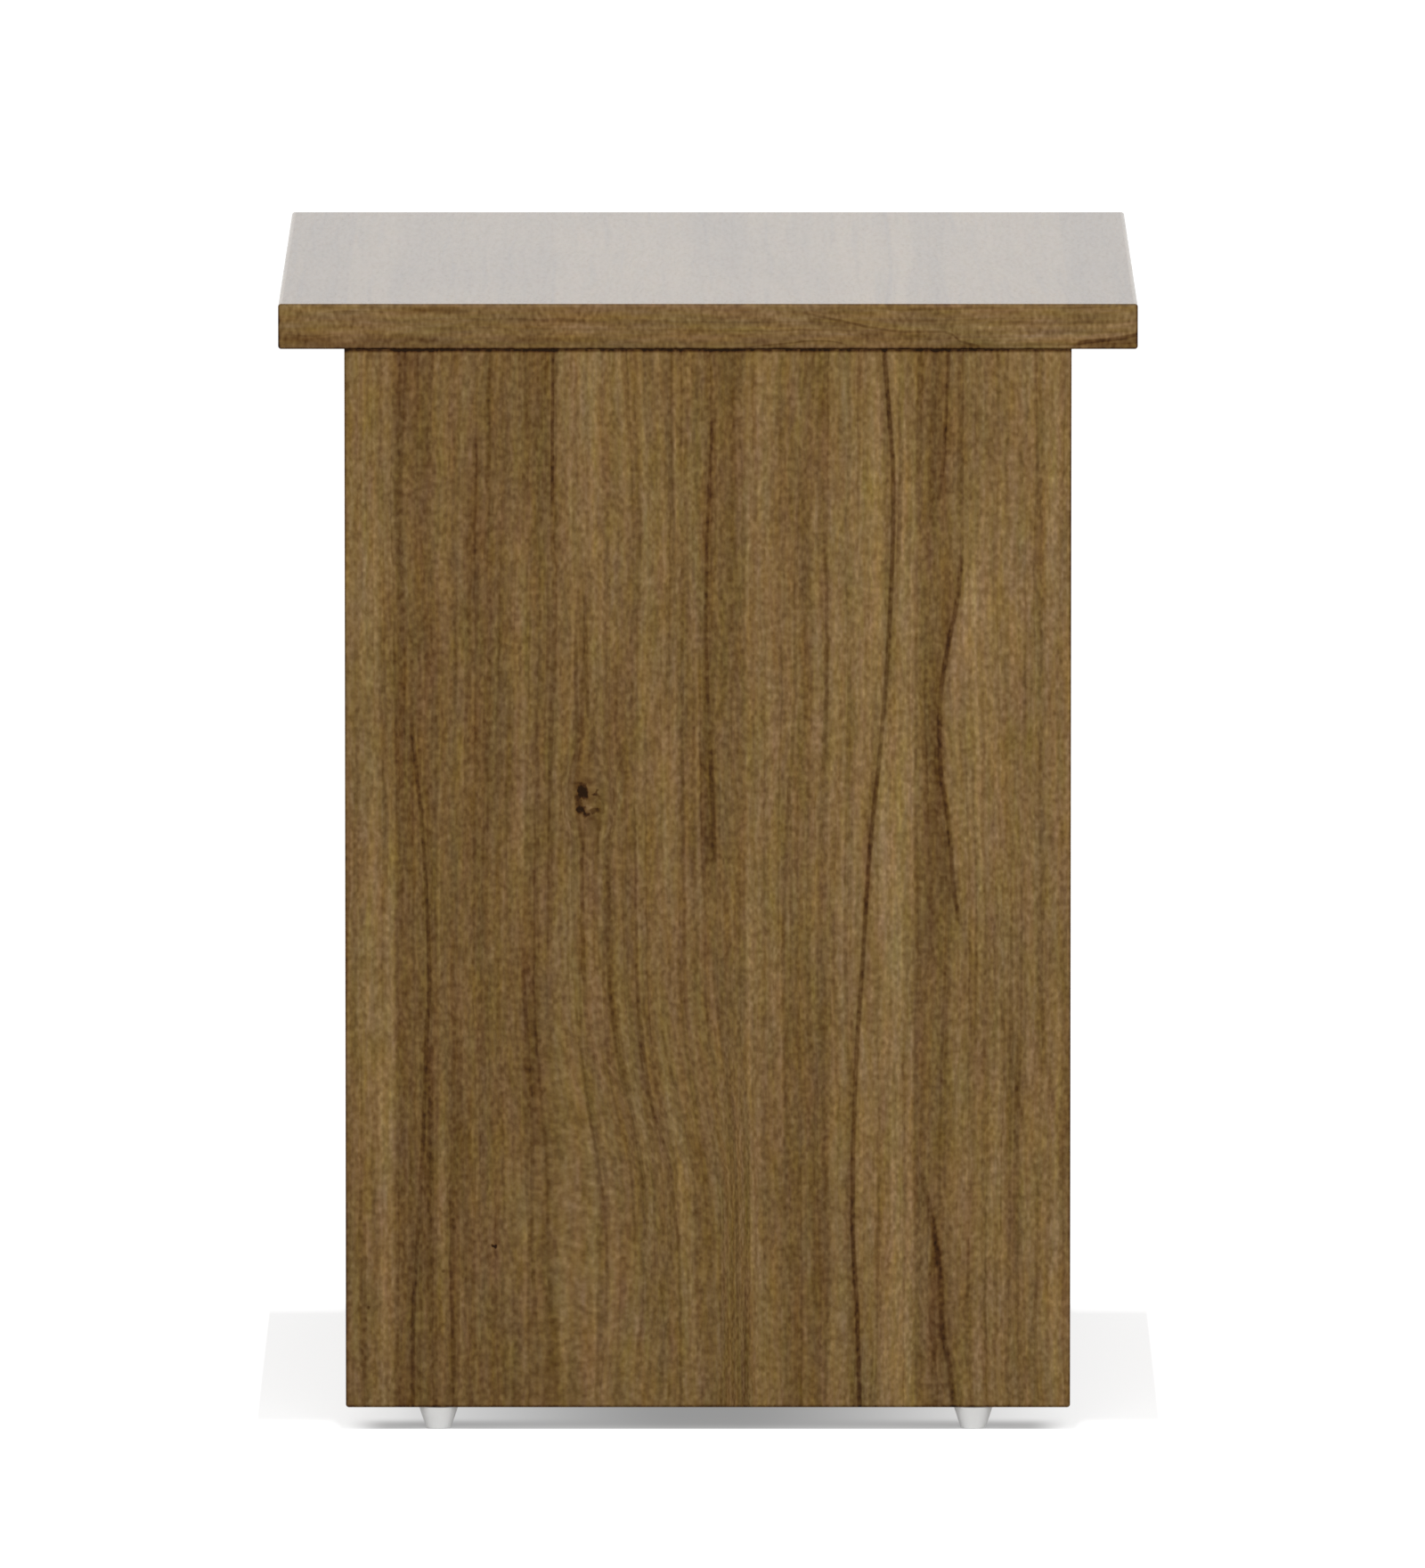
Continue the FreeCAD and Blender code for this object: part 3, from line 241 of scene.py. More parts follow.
SIDE_DEPTH, SIDE_HEIGHT = ends_of("right_side_edge_band", 1), ends_of("right_side_edge_band", 2)


def side_figure_and_painted_shade():
    """The figure of a side: pale and dark planks, long dark lines, a knot, and fibres that flow past it, with
    painted shade at its outline and a painted shadow under the top.
    """
    tree, given, result = start_group(
        "side_figure_and_painted_shade", {"Across": 0, "Height": 0}, {"Across": "NodeSocketFloat", "Tone": "NodeSocketFloat"})
    across, height = given["Across"], given["Height"]
    plain = point_at(tree, across, height)

    # Low in the middle the fibres flow towards the back, and they part round the knot.
    flow = calc(tree, "MULTIPLY", hill(tree, across, -105, -30, 4, 25), ease(tree, height, 105, 230, -15, 0))
    knot = (-57, 309)
    pinch = calc(tree, "MULTIPLY", calc(tree, "SUBTRACT", across, knot[0]),
                 calc(tree, "MULTIPLY", patch(tree, across, height, knot, (16, 26)), -0.45))
    bent = calc(tree, "ADD", calc(tree, "ADD", across, flow), pinch)

    # Planks from the front edge to the back edge: distance across in mm, and grey steps up or down.
    planks = ((-176, 2), (-155.5, 5), (-148.5, -11), (-136.5, -7), (-129.5, -5), (-111, -5), (-97, -6),
              (-79, -7), (-72, 3), (-45.5, 3), (-33, 6), (-14, 1), (0, -7), (9, -9), (15, -13), (19, 0),
              (27.5, 6), (36.5, 4), (54.5, -2), (61.5, 6), (85, 9), (98, 15), (100.5, -5), (111, -8),
              (119.5, 3), (145.5, 7), (176, 3))
    wavy = layers(tree, bent, (spots(tree, plain, 40, 150), 5.0), (spots(tree, plain, 9, 30, moved=1.1), 2.5))
    steps, mean_shift = (-20, 20), -0.6
    pairs = [(share_of(spot, SIDE_DEPTH), share_of(tone, steps)) for spot, tone in planks]
    plank_curve = curve_through(tree, shared(tree, wavy, SIDE_DEPTH), pairs)
    tone = layers(tree, steps[0] + mean_shift, (plank_curve, steps[1] - steps[0]))

    # Lines of the figure: (height, distance) pairs upwards, width, halo and its lean in mm, and grey steps.
    # One that ends inside the board fades out there over 22 mm, a short one over a third of its length.
    broken = ease(tree, spots(tree, plain, 20, 40, detail=2, moved=2.2), -0.20, 0.10, 0.85, 1.05)
    lines = (
        (((11, 73.7), (56, 72.5), (103, 70.3), (173, 71.6), (231, 75.1), (284, 78.5), (341, 84.2),
          (404, 88.4), (463, 89.7), (498, 87.6), (528, 85)), 1.7, 6, -1.5, -39),
        (((442, 107.4), (457, 111.8), (481, 114.3), (504, 115.6), (528, 116.9)), 1.3, 6, -2, -18),
        (((238, 123.6), (251, 121.8), (260, 119.8), (289, 117.4), (307, 115.2), (324, 112.6), (350, 112.2),
          (369, 113.9), (387, 116.9), (404, 120.4), (422, 122.3), (436, 123.4)), 1.8, 6, -1.5, -32),
        (((262, 126), (289, 123.5), (307, 121), (324, 119), (350, 118.5), (369, 120), (387, 123),
          (404, 126.5), (430, 129)), 7, 14, 0, 9),
        (((11, 120), (20, 118.6), (30, 117.5), (40, 115.5), (50, 114), (70, 113.4), (80, 112.4), (90, 111),
          (100, 109.2), (110, 107.2), (120, 105), (134, 103.8)), 2.2, 7, -1, -27),
        (((204, 123), (214, 121), (222, 116), (230, 110.5), (242, 106)), 1.4, 6, -2, -11),
        (((46, 120.5), (60, 125), (80, 126.5), (100, 125), (116, 120.5)), 1.2, 4, -1, -12),
        (((15, 152.5), (40, 156), (60, 159), (90, 160.5), (110, 161), (130, 158), (150, 153), (170, 149),
          (190, 145), (208, 142), (220, 139.5), (262, 138)), 1.3, 5, 0, -9),
        (((110, 173), (140, 170), (160, 168), (180, 164), (200, 162.5), (250, 158.5)), 1.3, 5, 0, -8),
        (((30, 140.5), (70, 141), (130, 142)), 1.3, 4, 0, -6),
        (((11, -143.3), (45, -143.3), (92, -141.1), (138, -138.5), (196, -136.4), (219, -135.1),
          (260, -136.4), (295, -138.5), (324, -141.5), (358, -144.6)), 1.5, 8, 1, -23),
        (((28, -80.7), (51, -83.3), (115, -85.4), (138, -85.1), (190, -87.6), (260, -92.4)), 1.4, 8, -2, -13),
        (((440, -75.3), (470, -75.3), (528, -75)), 1.3, 7, -3.2, -30),
        (((440, -88), (528, -88.5)), 1.4, 6, 1, -8),
        (((268, 3.5), (300, 2.5), (345, 0.5)), 1.8, 8, -2, -24),
        (((335, 1), (400, -1), (505, 2.5)), 1.3, 5, 0, -17),
        (((176, 37.6), (231, 40.5), (300, 39.6), (352, 37.6)), 1.3, 6, 1, -11),
        (((314, -65), (325, -64.8), (331, -64), (340, -63.3), (362, -63.8), (405, -64.5)), 1.5, 4, 0, -16),
        (((316, -57), (330, -56.8), (340, -55.6), (355, -58.5), (420, -59.5)), 1.6, 4, 0, -13),
        (((308, -41), (325, -42), (333, -43.5), (390, -45.5)), 1.7, 5, 0, -13),
        (((278, -60.3), (302, -59.9)), 1.0, 3.5, 0, -12),
        (((276, -53), (298, -53.6)), 1.0, 3.5, 0, -12),
        (((11, -13), (91, -14.4), (111, -16.6), (130, -18.3), (144, -22.7), (156, -26.6), (178, -31.8),
          (198, -33.6), (225, -34)), 1.2, 3.5, 0, -14),
        (((85, -35), (133, -38.4), (164, -45.8), (208, -50.2), (255, -51)), 1.2, 3.5, 0, -13),
        (((25, -5), (90, -6), (121, -7), (138, -9), (161, -13.5), (181, -19.2), (212, -24.4)),
         1.2, 3.5, 0, -11),
        (((25, -50), (80, -49), (110, -50.5), (130, -53), (154, -57.6), (191, -61.5), (255, -62.2)),
         1.1, 3.5, 0, -11),
        (((140, 14), (155, 12), (170, 9), (190, 7), (210, 4), (245, 2)), 1.1, 3.5, 0, -9),
        (((200, -6.5), (230, -5.5), (262, -4.5)), 1.3, 4, 0, -11),
        (((150, 9.5), (171, 7), (190, 5), (210, 2.2), (238, 0.6)), 1.1, 4, 0, 9),
        (((220, 36), (300, 38.5), (345, 41.5), (424, 42.7), (480, 44.5)), 1.4, 6, 0, -11),
        (((330, 153.6), (400, 153)), 1.3, 5, 0, -9),
        (((180, 57), (445, 57.5)), 1.4, 6, 0, -6),
    )
    for path, width, halo, lean, strength in lines:
        length = path[-1][0] - path[0][0]
        fade = min(22, 0.35 * length)
        mask = figure_line(tree, across, height, SIDE_HEIGHT, SIDE_DEPTH, path, width, halo, lean, fade)
        tone = layers(tree, tone, (calc(tree, "MULTIPLY", mask, broken), strength))

    # The knot with its ragged cracks, and a pinhole: (across, height) of the centre, radii and grey steps.
    ragged_across = layers(tree, across, (spots(tree, plain, 2.6, 3.4, detail=2), 5.0))
    ragged_height = layers(tree, height, (spots(tree, plain, 2.6, 3.4, detail=2, moved=5.5), 5.0))
    marks = (((-60.6, 312.3), (3.2, 5.0), -54), ((-62.8, 309), (2.4, 4.5), -20),
             ((-61.0, 303.6), (2.6, 2.4), -38), ((-59.2, 301.4), (2.4, 2.2), -36),
             ((-54.3, 311.4), (2.2, 1.8), -32), ((-53.4, 307.6), (2.4, 2.4), 18),
             ((-59.8, 307.2), (2.4, 2.0), 12), ((-57.6, 305.3), (1.8, 1.6), 14),
             ((-54.6, 303.4), (3.4, 1.8), -26), ((-50.3, 304.8), (1.4, 3.0), -14),
             ((-58.5, 309), (9, 14), -11), ((-57, 297.5), (5, 4), -9), ((-104, 90.7), (1.6, 1.6), -50))
    for centre, radii, strength in marks:
        tone = layers(tree, tone, (patch(tree, ragged_across, ragged_height, centre, radii), strength))

    # Two fainter pinholes, and wide patches of paler or darker wood.
    patches = (((-165, 60), (1.2, 1.2), -24), ((-128.5, 78), (1.2, 1.2), -24), ((-56, 490), (26, 90), 5),
               ((-50, 300), (34, 95), -5), ((44, 120), (22, 140), -6), ((130, 330), (16, 110), 5),
               ((-3, 284), (8, 30), -9), ((111, 300), (9, 70), -5), ((-148, 500), (60, 90), -4),
               ((133, 500), (50, 70), -3), ((-76, 90), (24, 110), 7), ((72, 300), (50, 80), 5),
               ((135, 370), (22, 110), 2), ((80, 430), (34, 90), 6), ((-8, 320), (14, 60), -5),
               ((-12, 160), (14, 80), 5), ((-142, 45), (12, 50), 7), ((119, 65), (12, 60), -5))
    for centre, radii, strength in patches:
        tone = layers(tree, tone, (patch(tree, across, height, centre, radii), strength))

    # Painted shade darkens the foil where it bends round the outline, and a painted shadow darkens it most in
    # the joint under the top.
    (low_end, high_end), half_depth = SIDE_HEIGHT, SIDE_DEPTH[1]
    painted_rim_shade = calc(tree, "MAXIMUM",
               ease(tree, calc(tree, "ABSOLUTE", across), half_depth - 1.4, half_depth - 0.2),
               ease(tree, height, low_end + 2.0, low_end + 0.4))
    painted_joint_shadow = ease(tree, height, high_end - 2.2, high_end - 0.4)
    tone = layers(tree, tone, (painted_rim_shade, -24), (painted_joint_shadow, -46))
    join(tree, result.inputs["Across"], bent)
    join(tree, result.inputs["Tone"], tone)
    return tree


SIDE_FIGURE_AND_PAINTED_SHADE = side_figure_and_painted_shade()


def place_in_mm(tree):
    """The place on the piece in the object's own frame, as a vector in millimetres."""
    place = tree.nodes.new("ShaderNodeTexCoord").outputs["Object"]
    return add(tree, "ShaderNodeVectorMath", {0: place, 3: 1000.0}, operation="SCALE").outputs[0]


def millimetres(tree):
    """The same place as three numbers."""
    return add(tree, "ShaderNodeSeparateXYZ", {0: place_in_mm(tree)}).outputs


def new_material(name, **numbers):
    """A material and its shader, with the plain numbers of the finish on the shader's own sockets."""
    material = bpy.data.materials.new(name)
    material.use_nodes = True
    shader = material.node_tree.nodes["Principled BSDF"]
    for label, number in numbers.items():
        shader.inputs[label.replace("_", " ")].default_value = number
    return material, material.node_tree, shader


def raise_surface(tree, shader, height, depth):
    """Bump from a height, its full depth in metres."""
    bump = add(tree, "ShaderNodeBump", {"Height": height, "Strength": 1.0, "Distance": depth})
    join(tree, shader.inputs["Normal"], bump.outputs[0])


def walnut(name, across, along, depth, relief=0.00006, shine=0.06, **values):
    """Walnut foil whose grain runs along one axis: across, along and depth name the axes 0, 1 and 2."""
    material, tree, shader = new_material(name, IOR=1.45, Specular_IOR_Level=shine)
    place = millimetres(tree)
    grain = add(tree, "ShaderNodeGroup", node_tree=WALNUT_GRAIN)
    values = {"Across": place[across], "Along": place[along], "Depth": place[depth], **values}
    for label, value in values.items():
        join(tree, grain.inputs[label], value)
    join(tree, shader.inputs["Base Color"], grain.outputs["Color"])
    join(tree, shader.inputs["Roughness"], grain.outputs["Roughness"])
    raise_surface(tree, shader, grain.outputs["Height"], relief)
    return material, tree, place, grain


def add_figure_and_painted_shade(tree, grain, across, height, contrast=1.0, shift=0.0):
    """Lay a side's figure and its painted shade into a walnut material, with less contrast or darker where
    asked.
    """
    figure = add(tree, "ShaderNodeGroup", {"Across": across, "Height": height}, node_tree=SIDE_FIGURE_AND_PAINTED_SHADE)
    join(tree, grain.inputs["Across"], figure.outputs["Across"])
    join(tree, grain.inputs["Tone"], layers(tree, shift, (figure.outputs["Tone"], contrast)))


def finish_with(material, *names):
    """Give CAD pieces a finish."""
    for name in names:
        nodes[name].data.materials.clear()
        nodes[name].data.materials.append(material)


right_side, tree, place, grain = walnut("walnut_right_side", 1, 2, 0, Bands=0.15, Veins=0.0)
add_figure_and_painted_shade(tree, grain, place[1], place[2])
finish_with(right_side, "right_side_panel", "right_side_edge_band")

# The left side is cut from the same print, turned end for end: its heights count down from both ends' sum.
left_side, tree, place, grain = walnut("walnut_left_side", 1, 2, 0, Bands=0.3, Veins=0.2)
# Its painted shade turns with it, so the painted joint shadow lies along its lower edge and the painted rim
# shade along its upper one.
add_figure_and_painted_shade(tree, grain, calc(tree, "MULTIPLY", place[1], -1.0),
           calc(tree, "SUBTRACT", sum(SIDE_HEIGHT), place[2]))
finish_with(left_side, "left_side_panel", "left_side_edge_band")


# The bottom, the middle rail and the toe rail: 16 mm boards in the same foil, their grain across the case.
# Cams in their undersides and dowels in their ends hold them between the sides.

crosswise = walnut("walnut_crosswise", 1, 0, 2, Veins=0.5)[0]
finish_with(crosswise, "bottom_panel", "middle_rail")
finish_with(walnut("walnut_toe_rail", 2, 0, 1, Veins=0.5)[0], "toe_rail")


# The back: a 3 mm sheet of brown hardboard, pressed from wood fibres.
# It is slid into the sides' grooves and nailed to the bottom's rear edge.

def mottle(tree, place, scale, detail, rough=0.5, distortion=0.0):
    """Noise from 0 to 1 that is the same in every direction."""
    return add(tree, "ShaderNodeTexNoise", {"Vector": place, "Scale": scale, "Detail": detail,
                                            "Roughness": rough, "Distortion": distortion}).outputs["Fac"]


def hardboard():
    """Short brown shreds in wide clouds of darker and paler brown."""
    material, tree, shader = new_material("brown_hardboard", IOR=1.45, Specular_IOR_Level=0.25)
    place = place_in_mm(tree)
    shreds = mottle(tree, place, 0.9, 4.0, rough=0.7, distortion=1.2)
    clouds = mottle(tree, place, 0.03, 3.0)
    join(tree, shader.inputs["Base Color"], colour_ramp(
        tree, layers(tree, 0.0, (shreds, 0.75), (clouds, 0.3)),
        ((0.32, (0.20, 0.125, 0.07)), (0.75, (0.40, 0.28, 0.175)))))
    join(tree, shader.inputs["Roughness"], calc(tree, "MULTIPLY_ADD", shreds, 0.3, 0.45))
    raise_surface(tree, shader, shreds, 0.00008)
    return material


HARDBOARD = hardboard()
finish_with(HARDBOARD, "back_panel")


# The top: a 22 mm board in walnut foil with a 2 mm edge band, its grain from side to side.
# It lies on the sides, pulled down by cam bolts, and stands out in front and behind.
# Its print is that of a side's upper part, drawn out to four times the length.

top_finish, tree, place, grain = walnut("walnut_top", 1, 0, 2, relief=0.00001, shine=0.2,
                                        Bands=0.1, Veins=0.0, Fine=0.35, Roughness=0.13)
print_middle, drawn_out = 455.0, 4
# The side's painted rim shade comes with the figure and darkens the top where it stands out in front and
# behind.
add_figure_and_painted_shade(tree, grain, place[1], layers(tree, print_middle, (place[0], 1 / drawn_out)),
           contrast=0.6, shift=-2.5)
finish_with(top_finish, "top_panel")


SLAB_DEPTH, SLAB_HEIGHT = ends_of("top_edge_band", 1), ends_of("top_edge_band", 2)


def slab_end_figure_and_painted_shade():
    """The figure on the ends of the top: a darker lower layer, two slanting lines and a low dark wedge, with
    painted shade round its outline.
    """
    tree, given, result = start_group(
        "slab_end_figure_and_painted_shade", {"Across": 0, "Height": 0}, {"Tone": "NodeSocketFloat"})
    across, height = given["Across"], given["Height"]
    plain = point_at(tree, across, height)
    mean_shift = 6.0
    wavy = layers(tree, height, (spots(tree, plain, 40, 9, detail=2), 4.0))
    low_layer = calc(tree, "MULTIPLY", ease(tree, wavy, 532.5, 536.5, 1.0, 0.0),
                     ease(tree, across, 134, 148, 1.0, 0.1))
    tone = layers(tree, mean_shift, (low_layer, -11), (spots(tree, plain, 1.9, 3.4, detail=0.6), 46),
                  (spots(tree, plain, 5, 4, detail=1), 20), (spots(tree, plain, 24, 5, detail=2), 42))

    # Its lines: (distance, height) pairs from front to back, width, halo and its lean in mm, and grey steps.
    lines = (
        (((43, 546.4), (64, 542), (83, 538), (94, 536.7), (113, 536.5), (121.5, 532.2), (135, 528.5)),
         1.0, 5.0, -2.4, -22),
        (((14, 528.6), (39.5, 531), (53, 532.2), (70, 528.6)), 0.7, 2.0, -0.8, -18),
        (((174.5, 528.4), (182, 531.5), (197, 533.1), (208, 535.2)), 1.6, 5.0, -2.2, -38),
        (((-191, 545), (-172.5, 546.6), (-153, 546.0)), 0.6, 2.0, 0.0, -10),
        (((-207, 536), (-193, 534.5), (-177.5, 536)), 0.6, 2.5, 0.0, -10),
    )
    for path, width, halo, lean, strength in lines:
        mask = figure_line(tree, height, across, SLAB_DEPTH, SLAB_HEIGHT, path, width, halo, lean, fade=9)
        tone = layers(tree, tone, (mask, strength))
    tone = layers(tree, tone, (patch(tree, across, height, (-128, 547), (15, 2.6)), -18),
                  (patch(tree, across, height, (199, 530.5), (15, 4.2)), -13))

    # Painted shade darkens it round its outline, least of all along the upper edge.
    (low_end, high_end), half_depth = SLAB_HEIGHT, SLAB_DEPTH[1]
    painted_upright_rim_shade = ease(tree, calc(tree, "ABSOLUTE", across), half_depth - 1.4, half_depth - 0.2)
    painted_lower_rim_shade = ease(tree, height, low_end + 1.2, low_end + 0.2)
    painted_upper_rim_shade = ease(tree, height, high_end - 1.1, high_end - 0.2, 0.0, 0.3)
    painted_rim_shade = calc(tree, "MAXIMUM", painted_upright_rim_shade, calc(tree, "MAXIMUM", painted_lower_rim_shade, painted_upper_rim_shade))
    join(tree, result.inputs["Tone"], layers(tree, tone, (painted_rim_shade, -38)))
    return tree


# The strip's grain runs along each edge, so it follows depth on the two ends and width elsewhere.
top_band, tree, place, grain = walnut("walnut_top_band", 2, 0, 1, relief=0.00003,
                                      Bands=0.3, Veins=0.2, Fine=0.4, Roughness=0.15)
board_end = ends_of("top_panel", 0)[1]
at_end = calc(tree, "GREATER_THAN", calc(tree, "ABSOLUTE", place[0]), board_end)
for socket, first, second in (("Along", place[0], place[1]), ("Depth", place[1], place[0])):
    chosen = add(tree, "ShaderNodeMix", {0: at_end, 2: first, 3: second})
    join(tree, grain.inputs[socket], chosen.outputs[0])
end_figure = add(tree, "ShaderNodeGroup", {"Across": place[1], "Height": place[2]},
                 node_tree=slab_end_figure_and_painted_shade())
join(tree, grain.inputs["Tone"], calc(tree, "MULTIPLY", end_figure.outputs[0], at_end))

# Over its upper edge the strip shines as the board beside it does.
shader = tree.nodes["Principled BSDF"]
shader.inputs["Coat IOR"].default_value = 1.26
shader.inputs["Coat Roughness"].default_value = 0.13
upper_face = SLAB_HEIGHT[1]
join(tree, shader.inputs["Coat Weight"], ease(tree, place[2], upper_face - 1.0, upper_face - 0.1, 0.0, 0.5))
finish_with(top_band, "top_edge_band")


# What pulls the case together: zinc-plated cam bolts, screws and nails, cast zinc cams, and beech dowels.
# Most of it hides in the boards, and the cams show in the faces that look inwards.

def metal(name, dark, pale, rough, fineness):
    """Bare or plated metal with faint clouds and fine specks."""
    material, tree, shader = new_material(name, Metallic=1.0)
    place = place_in_mm(tree)
    clouds = mottle(tree, place, 0.35, 3.0)
    specks = mottle(tree, place, fineness, 2.0)
    join(tree, shader.inputs["Base Color"], colour_ramp(tree, clouds, ((0.35, dark), (0.65, pale))))
    join(tree, shader.inputs["Roughness"], calc(tree, "MULTIPLY_ADD", specks, 0.25, rough - 0.12))
    raise_surface(tree, shader, specks, 0.00003)
    return material


STEEL = metal("zinc_plated_steel", (0.52, 0.50, 0.44), (0.68, 0.68, 0.64), 0.32, 2.0)
CAST_ZINC = metal("cast_zinc", (0.42, 0.42, 0.42), (0.56, 0.56, 0.55), 0.5, 3.5)
finish_with(STEEL, "cam_bolts", "foot_nails", "back_panel_nails")
finish_with(CAST_ZINC, "cams")


def beech():
    """Turned beech with short flecks along the dowels."""
    material, tree, shader = new_material("plain_beech", Roughness=0.65)
    place = millimetres(tree)
    flecks = spots(tree, point_at(tree, place[1], place[0], place[2]), 1.0, 6, detail=2)
    join(tree, shader.inputs["Base Color"], colour_ramp(
        tree, calc(tree, "ADD", flecks, 0.5), ((0.0, (0.50, 0.35, 0.20)), (1.0, (0.78, 0.62, 0.43)))))
    return material


finish_with(beech(), "dowels")


# The four feet: tapered white plastic glides, moulded round a nail and knocked into the sides' lower edges.

def white_finish(name, colour, rough, bump):
    """White plastic or epoxy with a fine matt skin and a few duller patches."""
    material, tree, shader = new_material(name, IOR=1.46)
    place = place_in_mm(tree)
    skin = mottle(tree, place, 2.2, 3.0)
    duller = [0.93 * part for part in colour]
    join(tree, shader.inputs["Base Color"],
         colour_ramp(tree, mottle(tree, place, 0.12, 2.0), ((0.0, duller), (1.0, colour))))
    join(tree, shader.inputs["Roughness"], calc(tree, "MULTIPLY_ADD", skin, 0.2, rough - 0.1))
    raise_surface(tree, shader, skin, bump)
    return material


finish_with(white_finish("foot_plastic", (0.78, 0.78, 0.77), 0.42, 0.00003),
            "front_left_foot", "front_right_foot", "back_left_foot", "back_right_foot")


# The runners: folded sheet steel in white epoxy, a channel screwed to each side of the case and an angle
# under each drawer side. White nylon rollers turn on rivets through their webs.

ENAMEL = white_finish("runner_enamel", (0.80, 0.80, 0.78), 0.35, 0.00004)
NYLON = white_finish("roller_nylon", (0.84, 0.84, 0.81), 0.40, 0.00002)
for drawer in ("upper", "lower"):
    for hand in ("left", "right"):
        finish_with(ENAMEL, f"{drawer}_{hand}_case_runner", f"{drawer}_{hand}_drawer_runner")
        finish_with(NYLON, f"{drawer}_{hand}_front_roller", f"{drawer}_{hand}_rear_roller")
    finish_with(STEEL, f"{drawer}_rear_roller_axles", f"{drawer}_drawer_runner_screws")
finish_with(STEEL, "case_runner_screws", "front_roller_axles")


# The drawers: walnut foil fronts with a 2 mm band all round, and boxes of 12 mm board in pale grey foil.
# Cams hold the sides to the front, screws hold the back, and a hardboard bottom lies in the grooves.

def pale_foil(name, across, along, depth):
    """Pale grey foil with a faint printed grain along one axis, and a fine weave."""
    material, tree, shader = new_material(name, IOR=1.45, Specular_IOR_Level=0.3)
    place = millimetres(tree)
    point = point_at(tree, place[across], place[along], place[depth])
    streaks = spots(tree, point, 2.4, 90, detail=3, rough=0.6)
    weave = spots(tree, point, 0.7, 5, detail=2, rough=0.6)
    clouds = spots(tree, point, 60, 200, detail=2)
    join(tree, shader.inputs["Base Color"], colour_ramp(
        tree, layers(tree, 0.5, (streaks, 1.1), (weave, 0.6), (clouds, 0.5)),
        ((0.0, (0.52, 0.50, 0.46)), (1.0, (0.70, 0.68, 0.64)))))
    join(tree, shader.inputs["Roughness"], calc(tree, "MULTIPLY_ADD", weave, -0.3, 0.5))
    raise_surface(tree, shader, weave, 0.00004)
    return material


side_foil = pale_foil("pale_foil_sides", 2, 1, 0)
back_foil = pale_foil("pale_foil_backs", 2, 0, 1)
for drawer, paler_by in (("upper", 0.0), ("lower", 1.5)):
    front = walnut(f"walnut_{drawer}_front", 2, 0, 1, Tone=paler_by)[0]
    finish_with(front, f"{drawer}_drawer_front", f"{drawer}_front_edge_band")
    finish_with(side_foil, f"{drawer}_drawer_left_side", f"{drawer}_drawer_right_side")
    finish_with(back_foil, f"{drawer}_drawer_back")
    finish_with(HARDBOARD, f"{drawer}_drawer_bottom")
    finish_with(STEEL, f"{drawer}_drawer_cam_bolts", f"{drawer}_drawer_back_screws")
    finish_with(CAST_ZINC, f"{drawer}_drawer_cams")


# The studio: a plain pale floor, a white world, and four soft lamps at the side, the ends and above.
# None of it is the nightstand.

def background_rays(tree):
    """One for rays from the camera, in a mirror or through glass, and nought for light on the scene."""
    path = tree.nodes.new("ShaderNodeLightPath").outputs
    total = calc(tree, "ADD", path["Is Camera Ray"], path["Is Glossy Ray"])
    return calc(tree, "ADD", total, path["Is Transmission Ray"], clamp=True)


bpy.ops.mesh.primitive_plane_add(size=80)
floor = bpy.context.object
floor.name = "studio_floor"
material = bpy.data.materials.new("studio_floor")
material.use_nodes = True
tree = material.node_tree
tree.nodes.clear()

# Light that falls on the floor meets pale paint. Seen, it is darker paint with a glow of its own.
seen = background_rays(tree)
shade = calc(tree, "MULTIPLY_ADD", seen, -0.50, 0.80)
grey = add(tree, "ShaderNodeCombineColor", {"Red": shade, "Green": shade, "Blue": shade})
paint = add(tree, "ShaderNodeBsdfDiffuse", {"Color": grey.outputs[0]})

# The glow is white past the top's outline, fades in towards it at both ends of the case, and sinks under the
# case, lowest in its middle and in a thin line along the feet: a painted shadow of the case on the floor.
# Distances are in metres from the middle.
spot = add(tree, "ShaderNodeSeparateXYZ", {0: tree.nodes.new("ShaderNodeTexCoord").outputs["Object"]}).outputs
sideways, lengthways = calc(tree, "ABSOLUTE", spot[0]), calc(tree, "ABSOLUTE", spot[1])
past_top = calc(tree, "MAXIMUM", ease(tree, sideways, cad_high[0] - 0.008, cad_high[0] - 0.003),
                ease(tree, lengthways, cad_high[1] + 0.006, cad_high[1] + 0.014))
glow_past_ends_with_painted_shade = calc(tree, "MULTIPLY", ease(tree, sideways, 0.05, 0.25), ease(tree, lengthways, 0.160, 0.185))
painted_shadow_line_by_feet = calc(tree, "MULTIPLY", ease(tree, sideways, 0.180, 0.208),
                 calc(tree, "MULTIPLY", ease(tree, lengthways, 0.03, 0.15, 0.0, 0.5),
                      ease(tree, lengthways, 0.155, 0.176, 1.0, 0.0)))
glow_under_case_with_painted_shade = calc(tree, "MULTIPLY", ease(tree, lengthways, 0.01, 0.185, 0.30, 0.735),
                  calc(tree, "SUBTRACT", 1.0, painted_shadow_line_by_feet))
brightness = calc(tree, "MAXIMUM", glow_under_case_with_painted_shade, calc(tree, "MAXIMUM", glow_past_ends_with_painted_shade, past_top))
glow = add(tree, "ShaderNodeEmission", {"Strength": calc(tree, "MULTIPLY", seen, brightness)})
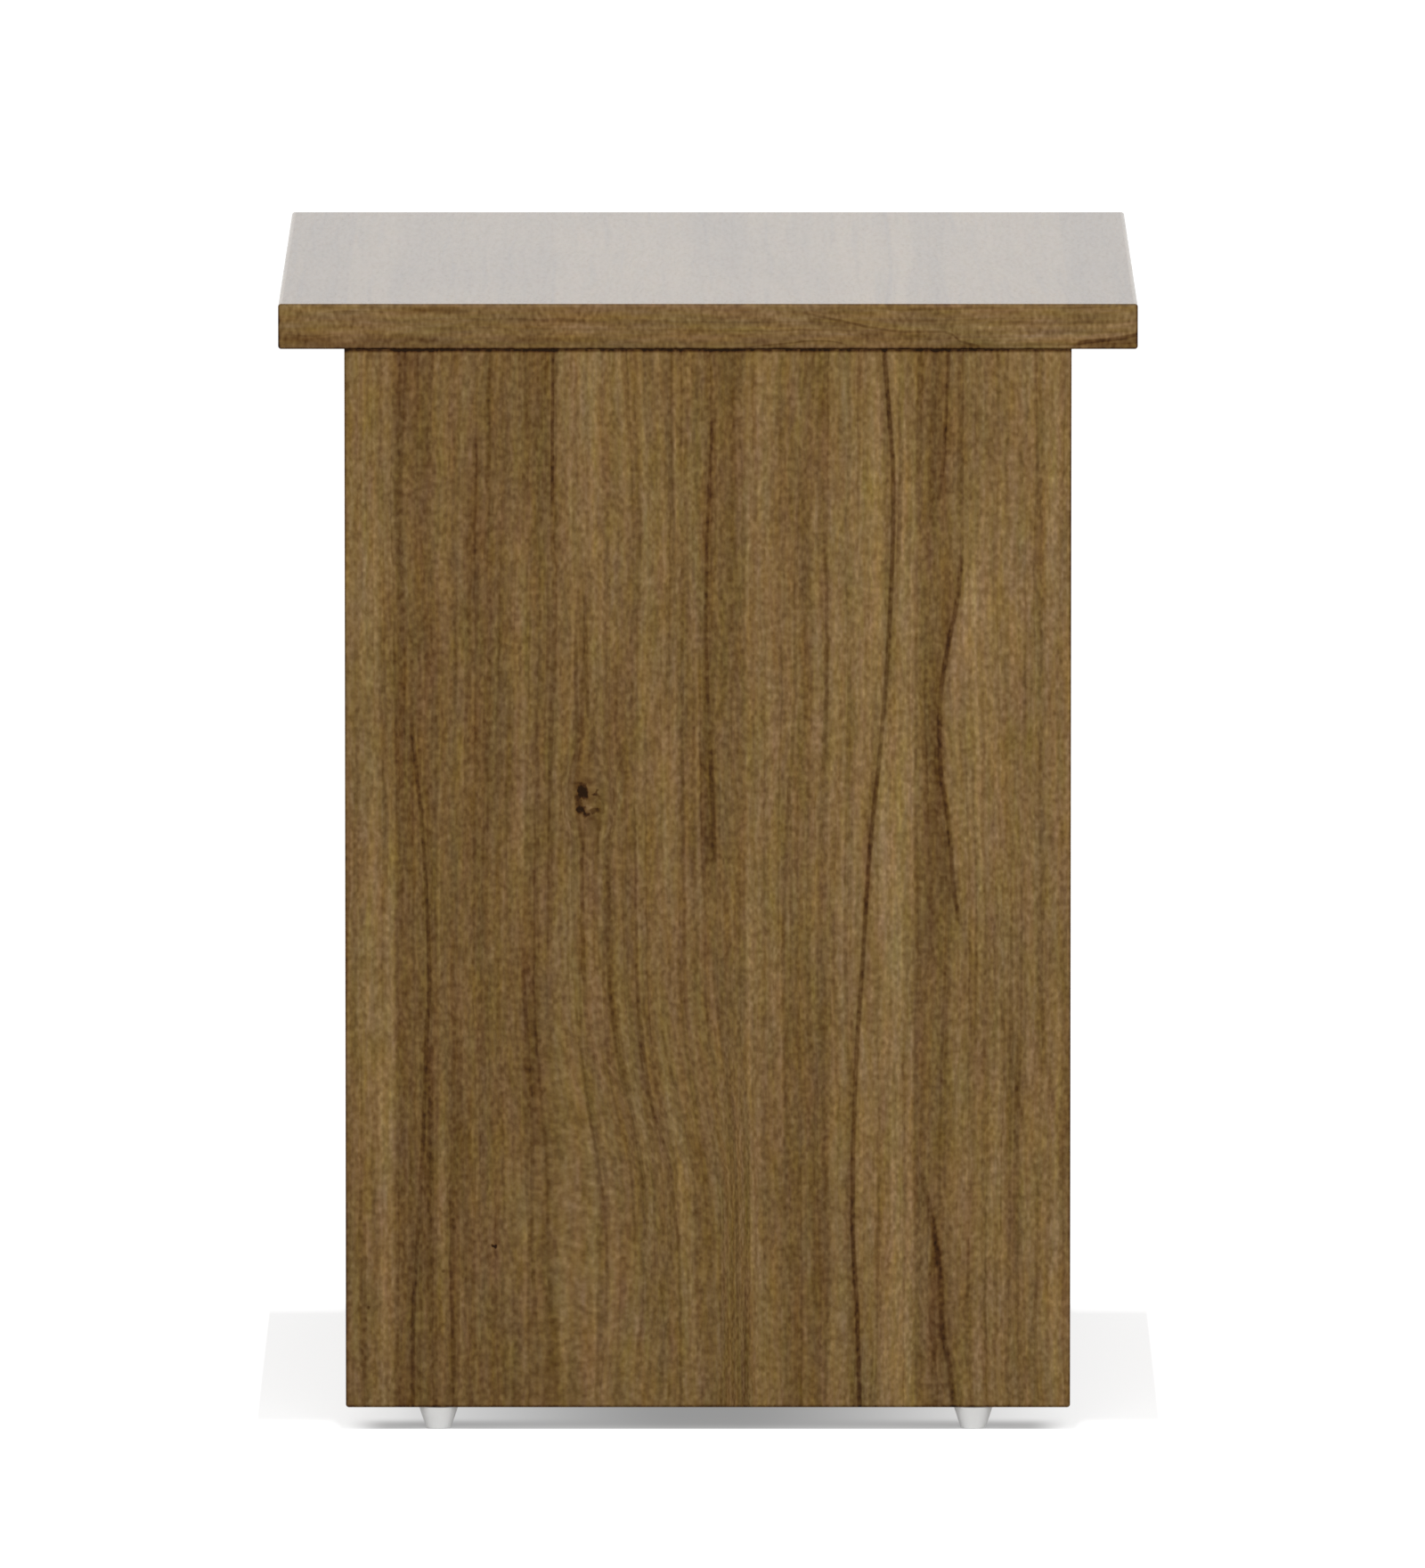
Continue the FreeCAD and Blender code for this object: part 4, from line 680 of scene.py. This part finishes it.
both = add(tree, "ShaderNodeAddShader", {0: paint.outputs[0], 1: glow.outputs[0]})
add(tree, "ShaderNodeOutputMaterial", {"Surface": both.outputs[0]})
floor.data.materials.append(material)

# The world lights the scene evenly, and is white where it is seen.
world = bpy.data.worlds.new("studio")
bpy.context.scene.world = world
world.use_nodes = True
tree = world.node_tree
tree.nodes.clear()
ambient = add(tree, "ShaderNodeBackground", {"Strength": 0.62})
white = add(tree, "ShaderNodeBackground", {"Strength": 1.0})
for background in (ambient, white):
    background.inputs["Color"].default_value = (1, 1, 1, 1)
either = add(tree, "ShaderNodeMixShader",
             {0: background_rays(tree), 1: ambient.outputs[0], 2: white.outputs[0]})
add(tree, "ShaderNodeOutputWorld", {"Surface": either.outputs[0]})


def softbox(name, place, aim, size, power):
    """A square area lamp that points at a spot."""
    lamp = bpy.data.lights.new(name, "AREA")
    lamp.shape = "SQUARE"
    lamp.size = size
    lamp.energy = power
    holder = bpy.data.objects.new(name, lamp)
    bpy.context.scene.collection.objects.link(holder)
    holder.location = place
    holder.rotation_euler = (Vector(aim) - Vector(place)).to_track_quat("-Z", "Y").to_euler()
    holder.visible_camera = False


softbox("side_softbox", (1.9, 0.0, 1.7), (0.2, 0.0, 0.35), 1.4, 24)
softbox("front_softbox", (0.2, -2.0, 1.5), (0, -0.2, 0.3), 1.4, 5)
softbox("rear_softbox", (0.2, 2.0, 1.5), (0, 0.2, 0.3), 1.4, 5)
softbox("overhead_softbox", (0.0, 0.0, 2.6), (0, 0, 0.5), 2.0, 6)

# The camera looks along the case's width with a long lens, tilted down by 6.9 degrees.
lens = bpy.data.cameras.new("camera")
lens.sensor_width = 36
lens.lens = 633.1
lens.clip_start = 1
lens.clip_end = 200
camera = bpy.data.objects.new("camera", lens)
bpy.context.scene.collection.objects.link(camera)
camera.location = (13.489, 0.0022, 1.9154)
tilt_down = 0.11998
camera.rotation_euler = (math.pi / 2 - tilt_down, 0, math.pi / 2)
bpy.context.scene.camera = camera
bpy.context.scene.view_settings.view_transform = "Standard"
